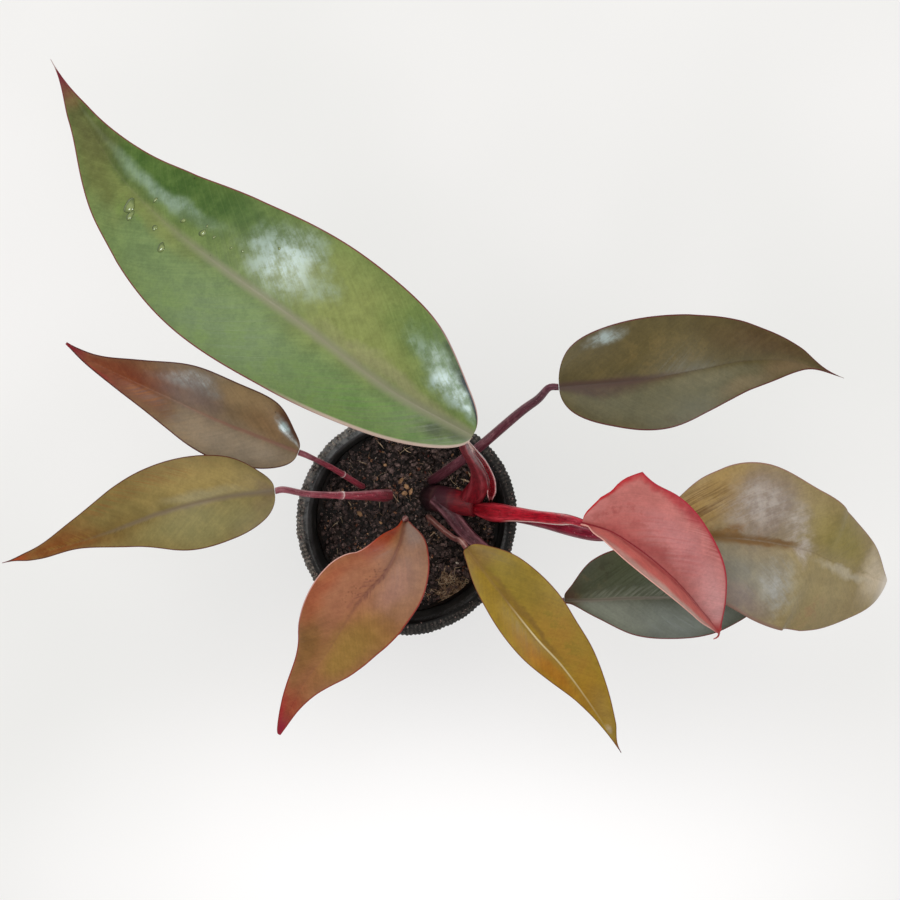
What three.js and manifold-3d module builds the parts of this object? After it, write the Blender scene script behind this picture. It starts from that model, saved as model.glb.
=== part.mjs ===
// A red-leaved climbing philodendron in a round nursery pot.
// Millimetres, +Z up, origin at the centre of the underside of the pot.
// Each leaf has a blade and a petiole (its stalk). The petioles of the older leaves stand in the
// soil, and those of the newer ones sit in the short main stem, which leans to +X.

import * as THREE from 'three';
import { mergeVertices } from 'three/addons/utils/BufferGeometryUtils.js';
import Module from 'manifold-3d';

const wasm = await Module();
wasm.setup();

// Driving dimensions of the pot
const POT_HEIGHT = 105;
const RIM_RADIUS = 60;
const RIM_DEPTH = 7;
const RIM_MOUTH_RADIUS = 53;
const RIB_COUNT = 168;
const RIB_DEPTH = 0.9;
const RIM_SLOPE = 2.8;
const FLANGE = 1.5;
const BASE_RADIUS = 43.5;
const WALL = 1.2;
const FLOOR = 1.6;
const POT_SIDES = 48;
const DRAIN_HOLES = 8;
const DRAIN_RADIUS = 3.5;
const DRAIN_CIRCLE = 31;

// Driving dimensions of the soil and the clearance between pieces
const SOIL_LEVEL = 87;
const SOIL_RINGS = 6;
const SOIL_RELIEF = 1.1;
const GAP = 0.3;

// Driving dimensions of the leaves
const BLADE_THICKNESS = 0.7;
const BLADE_STEPS = 16;
const BLADE_LANES = [0, 0.09, 0.36, 0.68, 1];
const RIB_AT_BASE = 1.5;
const BASE_HALF_WIDTH = 1.6;
const TIP_HALF_WIDTH = 0.4;
const PETIOLE_SIDES = 8;
const PETIOLE_STEPS = 12;
const BEND_LENGTH = 5;

// Leaves. midrib: points from the base of the blade to its tip. left and right: half-widths at even
// stations, seen from the base looking to the tip. fold: how steeply each half rises from the midrib,
// in degrees, at the base, the middle and the tip. curl: how far it then bends over, to its margin.
// wave: height, count and start of the wave of the margin. petiole: points from its foot to just
// below the blade. radii: of the petiole, foot to top. bend: length of its bend at the blade.
const LEAVES = [
  {
    name: 'green_large',
    colour: 0x5f7d3c,
    stalk: 0x6a1f2c,
    midrib: [[33.5, 45, 214], [-3, 65, 226], [-42, 94, 228], [-77, 119, 221], [-107, 143, 210],
      [-132, 170, 197], [-167, 225, 178]],
    left: [11.5, 21.5, 32, 34.5, 22.5, 8.5, 3.5],
    right: [17, 36, 40, 33.5, 20, 6, 1],
    fold: { left: [14, 6, 8], right: [20, 8, 6] },
    curl: { left: [-16, -12, -6], right: [-30, -14, -6] },
    wave: [0.8, 2, 0.6],
    petiole: [[36.2, 14, 109], [37.6, 20, 124], [36.6, 28, 144], [34.4, 33.7, 165], [32, 39, 188]],
    radii: [4.8, 3.9, 2.7, 2.3, 2.2],
    bend: 1.5,
  },
  {
    name: 'bronze_left',
    colour: 0x7a5a45,
    stalk: 0x6e2436,
    midrib: [[-54, 37.5, 140], [-75, 46, 146], [-97, 55, 149], [-116, 64, 148], [-138, 74, 146],
      [-156, 83, 148], [-168, 92, 153]],
    left: [9.5, 16, 18.5, 14.5, 9, 4, 1.5],
    right: [9, 19.5, 21.5, 20.5, 12.5, 5, 1],
    fold: { left: [16, 10, 14], right: [20, 16, 20] },
    curl: { left: [-10, -6, 0], right: [-50, -16, 0] },
    wave: [1.4, 3, 0],
    petiole: [[-25.5, 18.5, 62], [-25.5, 18.5, 88], [-34.5, 25.3, 104], [-41, 30, 116]],
    radii: [1.8, 1.8, 1.6, 1.5],
  },
  {
    name: 'olive_left',
    colour: 0x7d7040,
    stalk: 0x8a2e3f,
    midrib: [[-63, 18.4, 160], [-90, 15, 167], [-117, 8, 166], [-145, -2, 158], [-175, -11, 148],
      [-205, -19, 140]],
    left: [13, 20.5, 21.5, 11, 3.5, 3, 1],
    right: [10, 20, 23.5, 20, 11.5, 3.5, 1],
    fold: { left: [10, 8, 12], right: [10, 8, 12] },
    curl: { left: [-14, -10, -4], right: [-14, -10, -4] },
    wave: [0.7, 2, 1.2],
    petiole: [[-10.5, 13.5, 62], [-10.5, 13.5, 88], [-18, 14.4, 108], [-30, 15, 126], [-47.5, 16.4, 146]],
    radii: [3.1, 3.1, 3, 2.4, 1.8],
  },
  {
    name: 'copper_front',
    colour: 0x9a6440,
    stalk: 0x8c3527,
    midrib: [[0, 1.5, 134], [-2, -9, 146], [-9, -23, 149], [-20, -35, 147], [-29, -48, 142],
      [-40, -66, 130], [-55, -87, 115], [-70, -117, 98]],
    left: [6.5, 19.5, 26, 21, 12, 4.5, 1.5],
    right: [4, 14.5, 24.5, 21.5, 11, 6.5, 3],
    fold: { left: [40, 14, 16], right: [40, 18, 16] },
    curl: { left: [-20, -20, -10], right: [-20, -20, -10] },
    wave: [0.8, 2, 2],
    petiole: [[0, -4, 62], [0, -4, 88], [0.3, -1.5, 112]],
    radii: [1.9, 1.9, 1.8],
    bend: 2.5,
  },
  {
    name: 'gold_front',
    colour: 0x8f7c2c,
    stalk: 0x7d3036,
    midrib: [[32, -12, 134], [49, -34, 141], [67, -57, 138], [82, -74, 130], [99, -98, 116],
      [117, -127, 98]],
    left: [9.5, 19.5, 23.5, 19.5, 13, 6.5, 2.5],
    right: [4.5, 9.5, 12.5, 11, 5, 1.5, 0.7],
    fold: { left: [24, 16, 12], right: [24, 18, 12] },
    curl: { left: [-24, -20, -10], right: [-24, -20, -10] },
    wave: [0.6, 2, 0.3],
    petiole: [[11.7, 1.4, 62], [11.7, 1.4, 88], [17.5, -2.8, 106], [25, -7.5, 121]],
    radii: [1.9, 1.9, 1.7, 1.6],
  },
  {
    name: 'dark_right',
    colour: 0x4b5747,
    stalk: 0x3d1f2c,
    midrib: [[84, -41, 118], [101, -40, 123], [119, -39, 124], [138, -39, 122], [167, -39, 116],
      [195, -40, 106]],
    left: [8, 21.5, 27, 25, 17.5, 9, 2.5],
    right: [2.5, 9.5, 19, 21.5, 20, 13, 4.5],
    fold: { left: [14, 10, 10], right: [14, 10, 10] },
    curl: { left: [-16, -14, -6], right: [-16, -14, -6] },
    wave: [0.8, 2, 1],
    petiole: [[16, 12, 94.5], [22.3, 5.9, 99], [34.2, -8.4, 105], [57, -26, 111]],
    radii: [4.6, 4.4, 3.5, 2.7],
  },
  {
    name: 'bronze_right',
    colour: 0x857a55,
    stalk: 0x42202c,
    midrib: [[123, 0, 168], [149, -3, 175], [172, -5, 174], [196, -10, 168], [211, -16, 158],
      [227, -22, 145], [252, -31, 124]],
    left: [12, 29.5, 37.5, 30, 24, 16.5, 5],
    right: [9, 24, 36.5, 41, 35.5, 23.5, 12.5],
    fold: { left: [14, 12, 10], right: [14, 12, 10] },
    curl: { left: [-16, -24, -20], right: [-16, -24, -20] },
    wave: [1, 2, 2.4],
    petiole: [[31, 8.3, 99.5], [46, 4.5, 104], [58, 2, 114.5], [72, -1.2, 130], [97, -6.3, 150]],
    radii: [2.7, 2.9, 2.9, 2.9, 2.8],
  },
  {
    name: 'red_new',
    colour: 0xb55a58,
    stalk: 0xa3141f,
    midrib: [[84, 5.5, 204], [95, 2.2, 211], [106, -4.5, 214], [117, -13, 212], [128, -23, 206],
      [138, -34, 198], [150, -47, 186]],
    left: [5, 8.5, 14, 25.5, 28, 29.5, 28.5, 26, 23, 19, 14.5, 10, 6, 3, 1.5],
    right: [9, 25, 30, 24.5, 16, 8, 3],
    fold: { left: [20, 14, 30], right: [70, 72, 70] },
    curl: { left: [-10, -14, 0], right: [0, 0, 0] },
    wave: [0.6, 2, 0],
    petiole: [[43.5, 5.6, 112.5], [48, 5.6, 120], [57, 5.6, 134], [68.5, 5.3, 155], [76, 5.6, 178]],
    radii: [5.2, 4.7, 3.8, 3, 2.7],
  },
  {
    name: 'olive_back',
    colour: 0x5e5a40,
    stalk: 0x4e2836,
    midrib: [[76, 69, 172], [113, 72, 179], [142, 77, 177], [168, 82, 169], [195, 82, 158],
      [223, 75, 144]],
    left: [18, 26.5, 29, 24.5, 14, 5, 1.5],
    right: [13, 20.5, 25, 18, 11, 2, 1],
    fold: { left: [12, 8, 10], right: [12, 8, 10] },
    curl: { left: [-18, -14, -6], right: [-18, -14, -6] },
    wave: [0.7, 2, 1.8],
    petiole: [[14, 22, 64], [14, 22, 90], [24, 29, 108], [38, 39.5, 126], [58, 57, 149],
      [66.5, 63.5, 162]],
    radii: [2.8, 2.8, 2.7, 2.6, 2.5, 2.4],
  },
];

// Main stem: points and radii, from its buried foot to its leaning growing end
const STEM = {
  points: [[13, 12, 60], [13, 12, 84], [17.5, 12, 95], [26, 10.5, 102], [37, 8.5, 108]],
  radii: [7, 7, 7.6, 7.2, 6],
  sides: 12,
  steps: 12,
};

// Bud sheath: a closed pointed bract with two keels, which clasps the petiole of the large leaf
const SHEATH = {
  points: [[45, 13.8, 112], [44.8, 19.5, 122], [43.4, 25, 133], [39.9, 31.5, 147], [36.3, 36.5, 160],
    [32.2, 42.3, 175]],
  widths: [2.8, 2.8, 2.6, 2.3, 1.6, 0.6],
  depths: [2.8, 2.7, 2.5, 2.3, 1.6, 0.6],
  steps: 12,
};

// Geometry helpers
const vector = ([x, y, z]) => new THREE.Vector3(x, y, z);
const radians = THREE.MathUtils.degToRad;
const spline = (points) => new THREE.CatmullRomCurve3(points.map(vector), false, 'catmullrom', 0.5);

// Value of a smooth curve through evenly spaced values, at a share of its length
function smooth(values, share) {
  const place = THREE.MathUtils.clamp(share, 0, 1) * (values.length - 1);
  const i = Math.min(Math.floor(place), values.length - 2);
  const before = i > 0 ? values[i - 1] : 2 * values[0] - values[1];
  const after = i + 2 < values.length ? values[i + 2] : 2 * values[i + 1] - values[i];
  const f = place - i;
  const a = 3 * values[i] - 3 * values[i + 1] + after - before;
  const b = 2 * before - 5 * values[i] + 4 * values[i + 1] - after;
  return values[i] + 0.5 * f * (values[i + 1] - before + f * (b + f * a));
}

function geometryOf(vertices, triangles) {
  const geometry = new THREE.BufferGeometry();
  geometry.setAttribute('position', new THREE.Float32BufferAttribute(vertices.flat(), 3));
  geometry.setIndex(triangles.flat());
  return geometry;
}

function solidOf(geometry) {
  const bare = geometry.clone();
  bare.deleteAttribute('normal');
  bare.deleteAttribute('uv');
  const merged = mergeVertices(bare, 1e-4);
  const mesh = new wasm.Mesh({
    numProp: 3,
    vertProperties: new Float32Array(merged.attributes.position.array),
    triVerts: new Uint32Array(merged.index.array),
  });
  return new wasm.Manifold(mesh);
}

function geometryFrom(solid) {
  const mesh = solid.getMesh();
  const geometry = new THREE.BufferGeometry();
  geometry.setAttribute('position', new THREE.Float32BufferAttribute(mesh.vertProperties, 3));
  geometry.setIndex(Array.from(mesh.triVerts));
  return geometry;
}

const cut = (solid, tools) => tools.reduce((rest, tool) => rest.subtract(tool), solid);

// Closed body through rings of points, each ring ordered anticlockwise seen from its far side
function loft(rings) {
  const sides = rings[0].length;
  const vertices = rings.flat();
  const triangles = [];
  for (let i = 0; i + 1 < rings.length; i += 1) {
    for (let k = 0; k < sides; k += 1) {
      const a = i * sides + k;
      const b = i * sides + (k + 1) % sides;
      triangles.push([a, b, b + sides], [a, b + sides, a + sides]);
    }
  }
  const last = (rings.length - 1) * sides;
  for (let k = 1; k + 1 < sides; k += 1) {
    triangles.push([0, k + 1, k], [last, last + k, last + k + 1]);
  }
  return geometryOf(vertices, triangles);
}

// Tapered round stalk along a curve. grow widens it and lengthens both ends, to cut its socket.
function stalk(points, radii, sides, steps, grow = 0) {
  const curve = spline(points);
  const frames = curve.computeFrenetFrames(steps);
  const rings = [];
  for (let i = 0; i <= steps; i += 1) {
    const share = i / steps;
    const centre = curve.getPointAt(share);
    const end = (i === 0 ? -grow : 0) + (i === steps ? grow : 0);
    centre.addScaledVector(frames.tangents[i], end);
    const radius = smooth(radii, share) + grow;
    const ring = [];
    for (let k = 0; k < sides; k += 1) {
      const angle = (2 * Math.PI * k) / sides;
      const point = centre.clone();
      point.addScaledVector(frames.normals[i], radius * Math.cos(angle));
      point.addScaledVector(frames.binormals[i], radius * Math.sin(angle));
      ring.push(point.toArray());
    }
    rings.push(ring);
  }
  return loft(rings);
}

// Leaf blade: two halves that rise from the midrib and bend over towards their margins
function sectionPoint(fold, curl, width, share) {
  const bend = radians(curl) || 1e-6;
  const start = radians(fold);
  const angle = start + bend * share;
  return {
    out: (width / bend) * (Math.sin(angle) - Math.sin(start)),
    up: (width / bend) * (Math.cos(start) - Math.cos(angle)),
    angle,
  };
}

function blade(leaf) {
  const rib = spline(leaf.midrib);
  const lanes = [...BLADE_LANES.slice(1).reverse().map((lane) => -lane), ...BLADE_LANES];
  const across = lanes.length;
  const [waveHeight, waveCount, waveStart] = leaf.wave;
  const top = [];
  const under = [];
  for (let i = 0; i <= BLADE_STEPS; i += 1) {
    const phase = i / BLADE_STEPS;
    const share = (1 - Math.cos(Math.PI * phase)) / 2;
    const centre = rib.getPointAt(share);
    const forward = rib.getTangentAt(share);
    const side = new THREE.Vector3(0, 0, 1).cross(forward).normalize();
    const up = new THREE.Vector3().crossVectors(forward, side);
    for (const lane of lanes) {
      const half = lane < 0 ? 'right' : 'left';
      const sign = Math.sign(lane) || 1;
      const widths = [BASE_HALF_WIDTH, ...leaf[half], TIP_HALF_WIDTH];
      const fold = smooth(leaf.fold[half], phase);
      const curl = smooth(leaf.curl[half], phase);
      const place = sectionPoint(fold, curl, smooth(widths, phase), Math.abs(lane));
      const swing = Math.sin(2 * Math.PI * waveCount * phase + waveStart + (lane < 0 ? 1.3 : 0));
      const wave = waveHeight * lane * lane * swing * Math.sin(Math.PI * phase);
      const point = centre.clone();
      point.addScaledVector(side, sign * place.out);
      point.addScaledVector(up, place.up + wave);
      const ridge = lane === 0 ? RIB_AT_BASE * (1 - share) : 0;
      const below = point.clone();
      const depth = BLADE_THICKNESS + ridge;
      below.addScaledVector(side, sign * depth * Math.sin(place.angle) * (lane === 0 ? 0 : 1));
      below.addScaledVector(up, -depth * (lane === 0 ? 1 : Math.cos(place.angle)));
      top.push(point.toArray());
      under.push(below.toArray());
    }
  }
  const offset = top.length;
  const triangles = [];
  for (let i = 0; i < BLADE_STEPS; i += 1) {
    for (let k = 0; k + 1 < across; k += 1) {
      const a = i * across + k;
      const b = a + 1;
      const c = b + across;
      const d = a + across;
      triangles.push([a, d, c], [a, c, b]);
      triangles.push([a + offset, c + offset, d + offset], [a + offset, b + offset, c + offset]);
    }
    const right = i * across;
    const left = right + across - 1;
    triangles.push([left, left + across, left + across + offset], [left, left + across + offset, left + offset]);
    triangles.push([right, right + across + offset, right + across]);
    triangles.push([right, right + offset, right + across + offset]);
  }
  const tip = BLADE_STEPS * across;
  for (let k = 0; k + 1 < across; k += 1) {
    triangles.push([k, k + 1, k + 1 + offset], [k, k + 1 + offset, k + offset]);
    triangles.push([tip + k, tip + k + 1 + offset, tip + k + 1], [tip + k, tip + k + offset, tip + k + 1 + offset]);
  }
  return geometryOf([...top, ...under], triangles);
}

// Points of a petiole: its own, then a bend that brings it in line with the midrib of its blade
function petiolePoints(leaf) {
  const base = vector(leaf.midrib[0]);
  const forward = spline(leaf.midrib).getTangentAt(0);
  const bend = base.clone().addScaledVector(forward, -(leaf.bend ?? BEND_LENGTH));
  const end = base.clone().addScaledVector(forward, -GAP);
  return [...leaf.petiole, bend.toArray(), end.toArray()];
}

function petiole(leaf, grow = 0) {
  const top = leaf.radii[leaf.radii.length - 1];
  const radii = [...leaf.radii, top * 0.9, BASE_HALF_WIDTH];
  return stalk(petiolePoints(leaf), radii, PETIOLE_SIDES, PETIOLE_STEPS, grow);
}

// Bud sheath: a section with two keels on the side that faces up
const SHEATH_OUTLINE = [[-1, 0.2], [-0.55, 0.85], [0.1, 1], [0.7, 0.8], [1.3, 0.9], [0.85, 0.3],
  [0.85, -0.3], [1.3, -0.9], [0.7, -0.8], [0.1, -1], [-0.55, -0.85], [-1, -0.2]];

function sheath(grow = 0) {
  const curve = spline(SHEATH.points);
  const rings = [];
  for (let i = 0; i <= SHEATH.steps; i += 1) {
    const share = i / SHEATH.steps;
    const centre = curve.getPointAt(share);
    const forward = curve.getTangentAt(share);
    const end = (i === 0 ? -grow : 0) + (i === SHEATH.steps ? grow : 0);
    centre.addScaledVector(forward, end);
    const side = new THREE.Vector3(0, 0, 1).addScaledVector(forward, -forward.z).normalize();
    const front = new THREE.Vector3().crossVectors(forward, side);
    const width = smooth(SHEATH.widths, share) + grow;
    const depth = smooth(SHEATH.depths, share) + grow;
    const ring = SHEATH_OUTLINE.map(([x, y]) => {
      const point = centre.clone();
      point.addScaledVector(side, width * x);
      point.addScaledVector(front, depth * y);
      return point.toArray();
    });
    rings.push(ring.reverse());
  }
  return loft(rings);
}

// Pot: a thin tapered shell with a flange, a ribbed band round the flange and drain holes.
// It is closed through rows of points from the centre of its underside, up the outside, over the
// rim and down the inside to the middle of its floor. The ribbed rows have two points for each rib.
const innerRadius = (z) => BASE_RADIUS - WALL + ((RIM_MOUTH_RADIUS - BASE_RADIUS + WALL) * z) / POT_HEIGHT;

function potRows() {
  const rimFoot = POT_HEIGHT - RIM_DEPTH;
  const flangeFoot = POT_HEIGHT - FLANGE;
  return [
    { radius: 0, height: 0, count: 1 },
    { radius: BASE_RADIUS - WALL, height: 0, count: POT_SIDES },
    { radius: BASE_RADIUS, height: WALL, count: POT_SIDES },
    { radius: innerRadius(flangeFoot) + WALL, height: flangeFoot, count: POT_SIDES },
    { radius: RIM_RADIUS - RIB_DEPTH - WALL, height: flangeFoot, count: POT_SIDES },
    { radius: RIM_RADIUS - RIB_DEPTH - WALL, height: rimFoot, count: POT_SIDES },
    { radius: RIM_RADIUS, height: rimFoot, count: 2 * RIB_COUNT },
    { radius: RIM_RADIUS, height: POT_HEIGHT - RIM_SLOPE, count: 2 * RIB_COUNT },
    { radius: (RIM_RADIUS + RIM_MOUTH_RADIUS) / 2, height: POT_HEIGHT, count: POT_SIDES },
    { radius: RIM_MOUTH_RADIUS + WALL / 2, height: POT_HEIGHT, count: POT_SIDES },
    { radius: innerRadius(POT_HEIGHT - WALL), height: POT_HEIGHT - WALL, count: POT_SIDES },
    { radius: innerRadius(FLOOR), height: FLOOR, count: POT_SIDES },
    { radius: 0, height: FLOOR, count: 1 },
  ];
}

// Triangles between two rows, where the larger count is a whole multiple of the smaller one
function joinRows(first, firstCount, second, secondCount) {
  const fineCount = Math.max(firstCount, secondCount);
  const coarseCount = Math.min(firstCount, secondCount);
  const share = fineCount / coarseCount;
  const firstIsFine = firstCount === fineCount;
  const fine = (i) => (firstIsFine ? first : second) + (i % fineCount);
  const coarse = (i) => (firstIsFine ? second : first) + (i % coarseCount);
  const facing = ([a, b, c]) => (firstIsFine ? [a, b, c] : [a, c, b]);
  const triangles = [];
  for (let i = 0; i < coarseCount; i += 1) {
    const middle = coarseCount === 1 ? share : Math.ceil(share / 2);
    for (let j = 0; j < share; j += 1) {
      const start = i * share + j;
      triangles.push(facing([fine(start), fine(start + 1), coarse(j < middle ? i : i + 1)]));
    }
    if (coarseCount > 1) {
      triangles.push(facing([fine(i * share + middle), coarse(i + 1), coarse(i)]));
    }
  }
  return triangles;
}

function potShell() {
  const rows = potRows();
  const vertices = [];
  const triangles = [];
  for (const { radius, height, count } of rows) {
    for (let k = 0; k < count; k += 1) {
      const angle = (2 * Math.PI * k) / count;
      const reach = radius - (count > POT_SIDES && k % 2 ? RIB_DEPTH : 0);
      vertices.push([reach * Math.cos(angle), reach * Math.sin(angle), height]);
    }
  }
  let first = 0;
  for (let i = 0; i + 1 < rows.length; i += 1) {
    const second = first + rows[i].count;
    triangles.push(...joinRows(first, rows[i].count, second, rows[i + 1].count));
    first = second;
  }
  return geometryOf(vertices, triangles);
}

function pot() {
  const holes = [];
  for (let i = 0; i < DRAIN_HOLES; i += 1) {
    const angle = (2 * Math.PI * (i + 0.5)) / DRAIN_HOLES;
    const hole = new THREE.CylinderGeometry(DRAIN_RADIUS, DRAIN_RADIUS, 4 * FLOOR, 10)
      .rotateX(Math.PI / 2)
      .translate(DRAIN_CIRCLE * Math.cos(angle), DRAIN_CIRCLE * Math.sin(angle), 0);
    holes.push(solidOf(hole));
  }
  return geometryFrom(cut(solidOf(potShell()), holes));
}

// Soil: fills the pot to its level, with a crumbled top, and plain holes where stems stand
function seededRandom(seed) {
  let state = seed;
  return () => {
    state = (state * 1664525 + 1013904223) % 4294967296;
    return state / 4294967296;
  };
}

function soilBody() {
  const random = seededRandom(7);
  const foot = FLOOR + GAP;
  const levels = [{ radius: innerRadius(foot) - GAP, height: foot, rough: 0 }];
  for (let i = 0; i < SOIL_RINGS; i += 1) {
    const radius = (innerRadius(SOIL_LEVEL) - GAP - SOIL_RELIEF * 0.1) * (1 - i / SOIL_RINGS);
    levels.push({ radius, height: SOIL_LEVEL, rough: i === 0 ? 0.5 : 1 });
  }
  const vertices = [[0, 0, foot]];
  for (const { radius, height, rough } of levels) {
    for (let k = 0; k < POT_SIDES; k += 1) {
      const angle = (2 * Math.PI * k) / POT_SIDES;
      const lift = rough * SOIL_RELIEF * (2 * random() - 1);
      vertices.push([radius * Math.cos(angle), radius * Math.sin(angle), height + lift]);
    }
  }
  const crown = vertices.length;
  vertices.push([0, 0, SOIL_LEVEL]);
  const triangles = [];
  for (let k = 0; k < POT_SIDES; k += 1) {
    const next = (k + 1) % POT_SIDES;
    triangles.push([0, 1 + next, 1 + k]);
    for (let i = 0; i + 1 < levels.length; i += 1) {
      const a = 1 + i * POT_SIDES + k;
      const b = 1 + i * POT_SIDES + next;
      triangles.push([a, b, b + POT_SIDES], [a, b + POT_SIDES, a + POT_SIDES]);
    }
    const last = 1 + (levels.length - 1) * POT_SIDES;
    triangles.push([last + k, last + next, crown]);
  }
  return geometryOf(vertices, triangles);
}

// Assembly
const plant = new THREE.Group();

function add(name, geometry, colour, roughness) {
  const flat = geometry.index ? geometry.toNonIndexed() : geometry;
  flat.computeVertexNormals();
  const material = new THREE.MeshStandardMaterial({ color: colour, roughness, metalness: 0 });
  const mesh = new THREE.Mesh(flat, material);
  mesh.name = name;
  plant.add(mesh);
}

const stemStalk = (grow) => stalk(STEM.points, STEM.radii, STEM.sides, STEM.steps, grow);
const grownPetioles = LEAVES.map((leaf) => solidOf(petiole(leaf, GAP)));
const grownStem = solidOf(stemStalk(GAP));
const clasped = grownPetioles.filter((solid, i) => ['red_new', 'green_large'].includes(LEAVES[i].name));

add('pot', pot(), 0x1f1f20, 0.6);
add('soil', geometryFrom(cut(solidOf(soilBody()), [...grownPetioles, grownStem])), 0x231a15, 0.95);
add('main_stem', geometryFrom(cut(solidOf(stemStalk(0)), [...grownPetioles, solidOf(sheath(GAP))])), 0x2c1824, 0.5);
add('bud_sheath', geometryFrom(cut(solidOf(sheath()), clasped)), 0x7c1420, 0.35);
for (const leaf of LEAVES) {
  add(`petiole_${leaf.name}`, petiole(leaf), leaf.stalk, 0.4);
  add(`blade_${leaf.name}`, blade(leaf), leaf.colour, 0.4);
}

export default plant;
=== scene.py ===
import math

import bpy
import numpy as np
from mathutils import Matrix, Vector
from mathutils.bvhtree import BVHTree


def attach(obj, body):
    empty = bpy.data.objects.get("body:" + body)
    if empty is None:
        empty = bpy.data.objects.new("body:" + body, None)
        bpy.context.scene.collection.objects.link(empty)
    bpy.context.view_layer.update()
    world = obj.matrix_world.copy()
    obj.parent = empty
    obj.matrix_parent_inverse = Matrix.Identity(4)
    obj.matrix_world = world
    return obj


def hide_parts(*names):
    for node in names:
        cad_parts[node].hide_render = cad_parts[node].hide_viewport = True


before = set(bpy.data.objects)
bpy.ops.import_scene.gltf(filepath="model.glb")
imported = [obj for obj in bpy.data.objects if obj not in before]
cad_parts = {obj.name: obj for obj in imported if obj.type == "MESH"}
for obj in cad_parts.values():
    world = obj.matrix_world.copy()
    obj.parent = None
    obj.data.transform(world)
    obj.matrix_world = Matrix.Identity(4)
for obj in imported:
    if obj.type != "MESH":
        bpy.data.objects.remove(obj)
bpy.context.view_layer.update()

# A red-leaved climbing philodendron in a ribbed nursery pot, seen from straight above.
# Sizes are in millimetres in the frame of the model, and MM turns them into metres.
MM = 0.001

# Camera and studio, in metres
CAMERA_PLACE = (0.0234, 0.0386, 0.725)
SENSOR_WIDTH = 36.0
CAMERA_LENS = 45.88
LIGHT_AIM = (0.02, 0.03, 0.17)
FLOOR_SIZE = 8.0
FLOOR_GLOW = 0.72

# Pot and soil
POT_HEIGHT = 105
RIM_RADIUS = 60
RIM_DEPTH = 7
RIM_MOUTH_RADIUS = 53
RIB_COUNT = 168
RIB_DEPTH = 0.9
RIM_SLOPE = 2.8
FLANGE = 1.5
BASE_RADIUS = 43.5
WALL = 1.2
POT_FLOOR = 1.6
DRAIN_HOLES = 8
DRAIN_RADIUS = 3.5
DRAIN_CIRCLE = 31
SOIL_LEVEL = 87
GAP = 0.3

# Leaves
BLADE_THICKNESS = 0.5
RIB_AT_BASE = 1.5
BASE_HALF_WIDTH = 1.6
TIP_HALF_WIDTH = 0.4
BEND_LENGTH = 5
VEIN_GAP = 7.0
THREAD_START = 0.970
# pale bluish tint of the painted sheen on the leaves
PAINTED_SHEEN_COLOUR = "a8c0c6"
SPECK_COLOUR = "33211c"
SPECK_SCALE = 110.0

# How finely the pieces are divided
BLADE_STEPS, BLADE_LANES = 120, 18
LARGE_STEPS, LARGE_LANES = 190, 24
STALK_STEPS, STALK_SIDES = 110, 36
STEM_STEPS, STEM_SIDES = 110, 40
THREAD_STEPS, THREAD_SIDES = 12, 6
SHEATH_STEPS, SHEATH_SIDES = 60, 72
SOIL_RINGS, SOIL_SIDES = 72, 300
DROP_SIDES = 24
HOLE_SIDES = 40
FIBRE_SIDES = 5

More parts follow.
